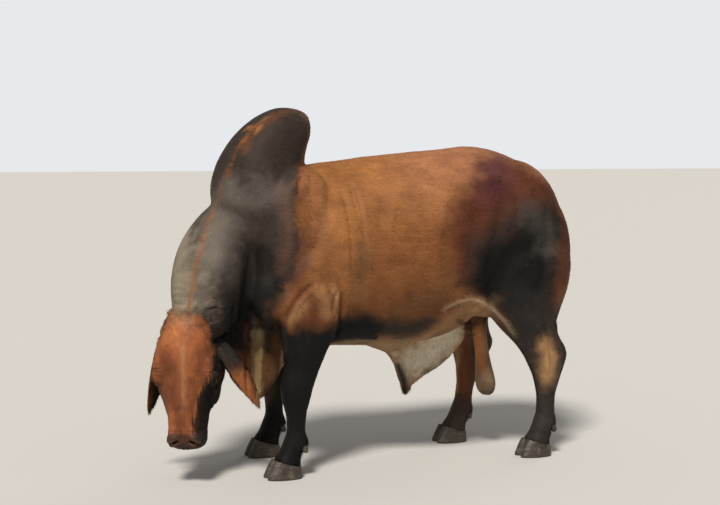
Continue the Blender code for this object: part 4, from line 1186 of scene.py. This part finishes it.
def tuftWeights(points, normals):
    along, outward, height = points[:, 0], np.abs(points[:, 1]), points[:, 2]
    onHead, ears, found = headTufts(points)
    legs = (height < coatLimits["legTop"]) & (outward > coatLimits["legsInside"])
    legs &= ((along > coatLimits["hindLegs"]) | (along < coatLimits["foreLegs"])) & ~onHead & ~ears
    front = (along < coatLimits["front"]) & ~legs & ~onHead & ~ears
    feet = (height < coatLimits["coronet"]) | ((height < coatLimits["pastern"]) & (normals[:, 0] > 0.4))
    low, high = coatLimits["tailEnd"]
    tail = (along > 0.95) & (outward < 0.03) & (height < high) & (height > low)
    low, high = coatLimits["brisket"]
    under = (height < low) | (height < high) & (normals[:, 2] < -0.2)
    found["trunk"] = ~(legs | front | onHead | ears) * clearOfFolds(points)
    found["front"] = front * 1.0
    found["legs"] = legs * 1.0
    found["feet"] = (legs & feet) * 1.0
    found["sheath"] = (inBox(points, "sheath", 0.01) & (height < coatLimits["sheathTip"])) * 1.0
    found["tailEnd"] = tail * 1.0
    found["brisket"] = (inBox(points, "dewlap", 0.01) & under) * 1.0
    return found


def makeCoat():
    points, normals = verticesOf(skin.data), normalsOf(skin.data)
    faces = np.empty(len(skin.data.polygons) * 3, np.int64)
    skin.data.polygons.foreach_get("vertices", faces)
    faces = faces.reshape(-1, 3)
    weights = tuftWeights(points, normals)
    material = coatMaterial("coat hair", 0.10)
    for seed, (name, look) in enumerate(tuftLooks.items()):
        rng = np.random.default_rng(tuftForm["seed"] + seed)
        count = look["count"]
        root, normal = scatter(points, normals, faces, weights[name], count, rng)
        for part, start in enumerate(range(0, count, tuftForm["perPiece"])):
            end = min(start + tuftForm["perPiece"], count)
            mesh = tuftMesh(f"coat_{name}_{part}", root[start:end], normal[start:end], look, rng)
            obj = newObject(mesh.name, mesh)
            mesh.materials.append(material)
            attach(obj, "root")


makeCoat()
print("coat made")


# hoofs: the frame's claws, made finer, with growth rings and worn edges
hoofLook = {
    "cell": 0.0018,
    "worn": 16,
    "rings": 0.00045,
    "ringGap": 0.0062,
    "inset": 0.0006,
    "rim": (0.026, 0.004, 0.045),  # where it starts and ends under the top, and how far it draws in
    "triangles": 5200,
}


def hornMaterial():
    group, out = surfaceGroup("horn", "Color", "Roughness", "Height")
    place = placeIn(group)
    rings = noiseAt(group, place, (14, 14, 230), 3.0)
    fibres = noiseAt(group, place, (420, 420, 26), 3.0)
    dust = noiseAt(group, place, (38, 38, 38), 4.0, 0.6)
    ringed = remap(group, rings, 0.35, 0.68, 0.0, 1.0)
    dark = mixed(group, ringed, (0.018, 0.014, 0.011, 1), (0.060, 0.044, 0.032, 1), "RGBA")
    streaks = remap(group, fibres, 0.5, 0.75, 0.0, 0.5)
    streaked = mixed(group, streaks, dark, (0.095, 0.070, 0.048, 1), "RGBA")
    dusted = remap(group, dust, 0.52, 0.72, 0.0, 0.45)
    dusty = mixed(group, dusted, streaked, (0.20, 0.155, 0.110, 1), "RGBA")
    link(group, dusty, out.inputs["Color"])
    link(group, remap(group, dust, 0.3, 0.7, 0.34, 0.66), out.inputs["Roughness"])
    link(group, plus(group, rings, times(group, fibres, 0.5)), out.inputs["Height"])
    return groupMaterial("hoof horn", group, 0.5, 0.0012)[0]


hornLook = hornMaterial()


def makeHorn(name):
    obj = newObject(name + "_horn", meshOf(mergedCopy(name), name + "_horn"))
    voxelSurface(obj, hoofLook["cell"])
    smooth = obj.modifiers.new("worn", "SMOOTH")
    smooth.factor = 0.5
    smooth.iterations = hoofLook["worn"]
    baked(obj)
    points, normals = verticesOf(obj.data), normalsOf(obj.data)
    start, end, inward = hoofLook["rim"]
    top = points[:, 2].max()
    rim = smoothStep(points[:, 2], top - start, top - end)[:, None]
    points[:, :2] -= rim * inward * (points[:, :2] - points[:, :2].mean(axis=0))
    upright = smoothStep(0.9 - np.abs(normals[:, 2]), 0, 0.4) * smoothStep(points[:, 2], 0.004, 0.012)
    bend = 0.004 * noise(points, 0.03, 31)
    push = hoofLook["rings"] * np.sin(2 * math.pi * (points[:, 2] + bend) / hoofLook["ringGap"]) * upright
    push += 0.0004 * roughNoise(points, 0.012, 32) - hoofLook["inset"]
    points = points + normals * push[:, None]
    points[:, 2] = np.maximum(points[:, 2], 0.0)
    setVertices(obj.data, points)
    fewer = obj.modifiers.new("fewer", "DECIMATE")
    fewer.ratio = min(1.0, hoofLook["triangles"] / (2 * len(obj.data.polygons)))
    baked(obj)
    obj.data.shade_smooth()
    obj.data.materials.clear()
    obj.data.materials.append(hornLook)
    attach(obj, "root")
    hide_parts(name)


for nodeName in sorted(nodes):
    if "claw" in nodeName:
        makeHorn(nodeName)
print("hoofs made")


# eyes: a wet ball with an iris and a wide pupil, lids laid on it, and lashes
eyeLook = {
    "radius": 0.0208,
    "facing": (0.82, 0.56, 0.05),
    "halfLength": 0.0175,
    "halfHeight": 0.0115,
    "lid": 0.0017,
    "lidReach": 0.0275,
    "sunk": 0.0012,
    "cornea": 0.05,
}
lashLook = {
    "count": 46,
    "arc": (0.0182, 0.0122),
    "length": 0.015,
    "width": 0.0008,
    "lift": 0.10,
    "drop": 0.25,
    "stray": 0.08,
    "seed": 7,
}


def eyeAxes(side):
    turned = headFrame.to_3x3()
    x, y, z = eyeLook["facing"]
    facing = (turned @ Vector((side * x, y, z))).normalized()
    along = turned @ Vector((0, 0, 1))
    along = (along - facing * along.dot(facing)).normalized()
    return facing, along, facing.cross(along) * side


def eyeMaterial():
    group, out = surfaceGroup("iris", "Color", "Roughness")
    apart = node(group, "ShaderNodeSeparateXYZ")
    link(group, node(group, "ShaderNodeUVMap", uv_map="face").outputs["UV"], apart.inputs[0])
    u = maths(group, "SUBTRACT", apart.outputs[0], 0.5)
    v = maths(group, "SUBTRACT", apart.outputs[1], 0.5)
    around = maths(group, "ARCTAN2", v, u)
    disc = radiusOf(group, u, v)
    slot = radiusOf(group, times(group, u, 0.62), v)
    rays = node(group, "ShaderNodeTexNoise", noise_dimensions="1D")
    rays.inputs["Scale"].default_value = 9.0
    link(group, around, rays.inputs["W"])
    iris = mixed(group, rays.outputs["Fac"], (0.030, 0.013, 0.006, 1), (0.110, 0.046, 0.018, 1), "RGBA")
    ringed = mixed(group, remap(group, disc, 0.30, 0.335, 0, 1), iris, (0.008, 0.006, 0.006, 1), "RGBA")
    white = mixed(group, remap(group, disc, 0.345, 0.38, 0, 1), ringed, (0.34, 0.22, 0.17, 1), "RGBA")
    full = mixed(group, remap(group, slot, 0.115, 0.140, 1, 0), white, (0.002, 0.002, 0.004, 1), "RGBA")
    link(group, full, out.inputs["Color"])
    link(group, remap(group, disc, 0.32, 0.42, 0.03, 0.14), out.inputs["Roughness"])
    material, _, shader = groupMaterial("eye", group)
    shader.inputs["Specular IOR Level"].default_value = 0.12
    shader.inputs["Coat Weight"].default_value = 0.14
    shader.inputs["Coat Roughness"].default_value = 0.03
    return material


def makeEye(word, side):
    low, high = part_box("eye_" + word)
    centre = (low + high) / 2
    facing, along, upward = eyeAxes(side)
    bm = bmesh.new()
    bmesh.ops.create_uvsphere(bm, u_segments=48, v_segments=32, radius=1.0)
    layer = bm.loops.layers.uv.new("face")
    for face in bm.faces:
        for corner in face.loops:
            spot = corner.vert.co
            corner[layer].uv = (0.5 + 0.5 * spot.x, 0.5 + 0.5 * spot.y) if spot.z > 0 else (0.99, 0.5)
    for vert in bm.verts:
        x, y, z = vert.co
        cornea = 1 + eyeLook["cornea"] * math.exp(-((x * x + y * y) / 0.16)) if z > 0 else 1
        local = (along * x + upward * y) + facing * (z * cornea)
        vert.co = centre + local * eyeLook["radius"]
    bmesh.ops.recalc_face_normals(bm, faces=bm.faces)
    mesh = meshOf(bm, "eyeball_" + word)
    mesh.shade_smooth()
    ball = newObject("eyeball_" + word, mesh)
    ball.data.materials.append(eyeShine)
    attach(ball, "root")
    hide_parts("eye_" + word)
    makeLids(word, centre, facing, along, upward)


def lidPoints(centre, facing, along, upward, rows, count):
    radius = eyeLook["radius"]
    points = []
    for row in range(rows):
        share = row / (rows - 3)
        onBall, early = (float(smoothStep(share * speed, 0, 1)) for speed in (1.25, 2))
        for k in range(count):
            turn = 2 * math.pi * k / count
            c, s = math.cos(turn), math.sin(turn)
            inner = along * (eyeLook["halfLength"] * c) + upward * (eyeLook["halfHeight"] * s * abs(s) ** 0.2)
            if row >= rows - 2:
                deep = radius - 0.0004 - (0.0010 if row == rows - 1 else 0)
                flat = inner * (0.985 if row == rows - 2 else 1.05)
                points.append(centre + flat + facing * math.sqrt(deep**2 - flat.length_squared))
                continue
            wide = (along * c + upward * (s * 0.92)) * eyeLook["lidReach"]
            flat = wide.lerp(inner, share**0.9)
            place = skinTree.ray_cast(centre + flat + facing * 0.05, -facing, 0.08)[0]
            skinHeight = (place - centre).dot(facing) if place is not None else 0.012
            lidRadius = radius + eyeLook["lid"] * (1.15 if s > 0 else 0.95)
            ballHeight = math.sqrt(max(lidRadius**2 - flat.length_squared, 1e-9)) if flat.length < lidRadius else 0
            crease = 0.0007 * math.cos(share * 15) * (1 - share) * min(1, share * 5)
            height = (skinHeight - eyeLook["sunk"]) * (1 - onBall) + ballHeight * onBall
            points.append(centre + flat + facing * (max(height, ballHeight * early) + crease))
    return points


def makeLids(word, centre, facing, along, upward):
    rows, count = 12, 72
    faces = []
    for row in range(rows - 1):
        for k in range(count):
            a, b = row * count + k, row * count + (k + 1) % count
            faces.append((a, b, b + count, a + count))
    points = lidPoints(centre, facing, along, upward, rows, count)
    obj = newObject("lids_" + word, meshFrom("lids_" + word, points, faces))
    bm = bmesh.new()
    bm.from_mesh(obj.data)
    bmesh.ops.recalc_face_normals(bm, faces=bm.faces)
    if sum(face.normal.dot(facing) for face in bm.faces) < 0:
        bmesh.ops.reverse_faces(bm, faces=bm.faces)
    bm.to_mesh(obj.data)
    bm.free()
    places = verticesOf(obj.data)
    colour = paint(places)
    bare = np.clip((np.repeat(np.arange(rows), count) - 3) / 3.0, 0, 1)[:, None]
    setAttribute(obj.data, "coat", "FLOAT_COLOR", colour + (np.array(coat["black"]) * 1.6 - colour) * bare)
    setAttribute(obj.data, "lie", "FLOAT", np.ones(len(places)))
    obj.data.shade_smooth()
    obj.data.materials.append(skinMaterial)
    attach(obj, "root")
    makeLashes(word, *(np.array(axis) for axis in (centre, facing, along, upward)))


def makeLashes(word, centre, facing, along, upward):
    rng = np.random.default_rng(lashLook["seed"])
    count = lashLook["count"]
    turns = np.linspace(0.12, 0.88, count) * math.pi + rng.normal(0, 0.02, count)
    c, s = np.cos(turns)[:, None], np.sin(turns)[:, None]
    brow = -upward
    halfLength, halfHeight = lashLook["arc"]
    flat = along * halfLength * c + brow * halfHeight * s
    height = np.sqrt((eyeLook["radius"] + 0.0014) ** 2 - (flat**2).sum(axis=1))[:, None]
    lie = 0.75 * facing + 0.7 * brow + 0.35 * c * along
    out = np.tile(brow - 0.6 * facing, (count, 1))
    out /= np.linalg.norm(out, axis=1)[:, None]
    mesh = tuftMesh("lashes_" + word, centre + flat + facing * height, out, lashLook, rng, lie)
    lashes = newObject(mesh.name, mesh)
    lashes.data.materials.append(skinMaterial)
    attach(lashes, "root")


eyeShine = eyeMaterial()
for eyeWord, eyeSide in (("left", 1), ("right", -1)):
    makeEye(eyeWord, eyeSide)
print("eyes made")


# tail switch: long black locks from the tail's end
switchLook = {
    "locks": 320,
    "length": 0.335,
    "width": 0.0042,
    "flatness": 0.45,
    "rows": 10,
    "goldenTurn": 2.39996,
    "seed": 5,
}


def switchMaterial():
    group, out = surfaceGroup("longHair", "Color", "Roughness", "Height")
    place = placeIn(group)
    strands = noiseAt(group, place, (900, 900, 22), 3.0)
    worn = noiseAt(group, place, (60, 60, 14), 3.0)
    share = remap(group, strands, 0.35, 0.7, 0, 1)
    black = mixed(group, share, (0.006, 0.005, 0.005, 1), (0.035, 0.024, 0.018, 1), "RGBA")
    full = mixed(group, remap(group, worn, 0.55, 0.8, 0, 0.6), black, (0.090, 0.050, 0.028, 1), "RGBA")
    link(group, full, out.inputs["Color"])
    link(group, remap(group, strands, 0.3, 0.7, 0.36, 0.56), out.inputs["Roughness"])
    link(group, strands, out.inputs["Height"])
    return groupMaterial("switch hair", group, 0.6, 0.001)[0]


def lockRings(path, across, widths, sides=5):
    rings = []
    for k, place in enumerate(path):
        ahead = (path[min(k + 1, len(path) - 1)] - path[max(k - 1, 0)]).normalized()
        wide = (across - ahead * across.dot(ahead)).normalized()
        out = ahead.cross(wide)
        ring = []
        for n in range(sides):
            turn = 2 * math.pi * n / sides
            thick = widths[k] * switchLook["flatness"]
            ring.append(place + wide * (widths[k] * math.cos(turn)) + out * (thick * math.sin(turn)))
        rings.append(ring)
    return rings


def tubeInto(points, faces, rings):
    start, sides = len(points), len(rings[0])
    for ring in rings:
        points.extend(ring)
    for row in range(len(rings) - 1):
        for n in range(sides):
            a, b = start + row * sides + n, start + row * sides + (n + 1) % sides
            faces.append((a, b, b + sides, a + sides))
    faces.append(tuple(start + n for n in range(sides))[::-1])
    last = start + (len(rings) - 1) * sides
    faces.append(tuple(last + n for n in range(sides)))


def makeSwitch():
    rng = np.random.default_rng(switchLook["seed"])
    low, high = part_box("tail_switch")
    tailPoints = np.array([v.co for v in nodes["tail"].data.vertices])
    bottom = tailPoints[tailPoints[:, 2] < tailPoints[:, 2].min() + 0.002]
    top = Vector(((bottom[:, 0].min() + bottom[:, 0].max()) / 2, 0, high.z))
    reach = min(top.x - low.x, high.x - top.x, -low.y, high.y) - 0.003
    points, faces = [], []
    for k in range(switchLook["locks"]):
        turn = k * switchLook["goldenTurn"]
        spread = math.sqrt((k + 0.5) / switchLook["locks"])
        depth = 0.11 * (1 - spread) * rng.uniform(0.2, 1.0)
        outward = Vector((math.cos(turn), math.sin(turn), 0))
        length = (switchLook["length"] - depth) * rng.uniform(0.70, 1.0)
        wave, phase = rng.uniform(0.001, 0.004), rng.uniform(0, 6.28)
        drift = Vector((rng.uniform(-0.006, 0.006), rng.uniform(-0.006, 0.006), 0))
        path, widths = [], []
        for n in range(switchLook["rows"]):
            t = n / (switchLook["rows"] - 1)
            belly = 0.014 + (reach - 0.020) * math.sin(math.pi * min(1, 0.10 + 0.85 * t)) * (0.35 + 0.65 * spread)
            swing = Vector((math.cos(phase + 7 * t), math.sin(phase + 7 * t), 0)) * (wave * t)
            place = top + outward * (belly * (0.25 + 0.75 * spread)) + drift * t + swing
            path.append(place - Vector((0, 0, depth + length * t - 0.012)))
            taper = 1 - 0.93 * t**3
            widths.append(switchLook["width"] * (0.55 + 0.6 * math.sin(math.pi * min(1, 0.15 + t))) * taper)
        across = Vector((-outward.y, outward.x, 0))
        tubeInto(points, faces, lockRings(path, across, widths))
    obj = newObject("tail_locks", meshFrom("tail_locks", points, faces))
    obj.data.shade_smooth()
    obj.data.materials.append(switchMaterial())
    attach(obj, "root")
    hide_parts("tail_switch")


makeSwitch()
print("switch made")


# studio: pale floor, soft lights
studio = {
    "floor": (0.50, 0.49, 0.475, 1),
    "floorSize": 90.0,
    "wall": (0.80, 0.82, 0.84, 1),
    "glow": (1.0, 0.98, 0.95, 1),
    "glowStrength": 0.36,
    # name, strength, spread in degrees, direction, colour
    "lights": [
        ("key", 4.1, 12, (0.38, 0.54, -0.78), (1.0, 0.95, 0.87)),
        ("back light", 0.3, 25, (-0.75, -0.45, -0.55), (1.0, 0.93, 0.84)),
    ],
}


def makeStudio():
    bm = bmesh.new()
    bmesh.ops.create_grid(bm, x_segments=4, y_segments=4, size=studio["floorSize"])
    floor = newObject("floor", meshOf(bm, "floor"))
    material, _, shader = newMaterial("floor")
    shader.inputs["Base Color"].default_value = studio["floor"]
    shader.inputs["Roughness"].default_value = 0.9
    floor.data.materials.append(material)
    world = bpy.data.worlds.new("soft light")
    world.use_nodes = True
    tree = world.node_tree
    seen = tree.nodes["Background"]
    seen.inputs["Color"].default_value = studio["wall"]
    glow = node(tree, "ShaderNodeBackground")
    glow.inputs["Color"].default_value = studio["glow"]
    glow.inputs["Strength"].default_value = studio["glowStrength"]
    either = node(tree, "ShaderNodeMixShader")
    link(tree, node(tree, "ShaderNodeLightPath").outputs["Is Camera Ray"], either.inputs[0])
    link(tree, glow.outputs[0], either.inputs[1])
    link(tree, seen.outputs[0], either.inputs[2])
    link(tree, either.outputs[0], tree.nodes["World Output"].inputs["Surface"])
    scene.world = world
    for name, energy, spread, toward, colour in studio["lights"]:
        light = bpy.data.lights.new(name, "SUN")
        light.energy = energy
        light.angle = math.radians(spread)
        light.color = colour
        lamp = newObject(name, light)
        lamp.location = (0, 0, 5)
        lamp.rotation_euler = Vector(toward).to_track_quat("-Z", "Y").to_euler()


makeStudio()
scene.view_settings.view_transform = "Standard"
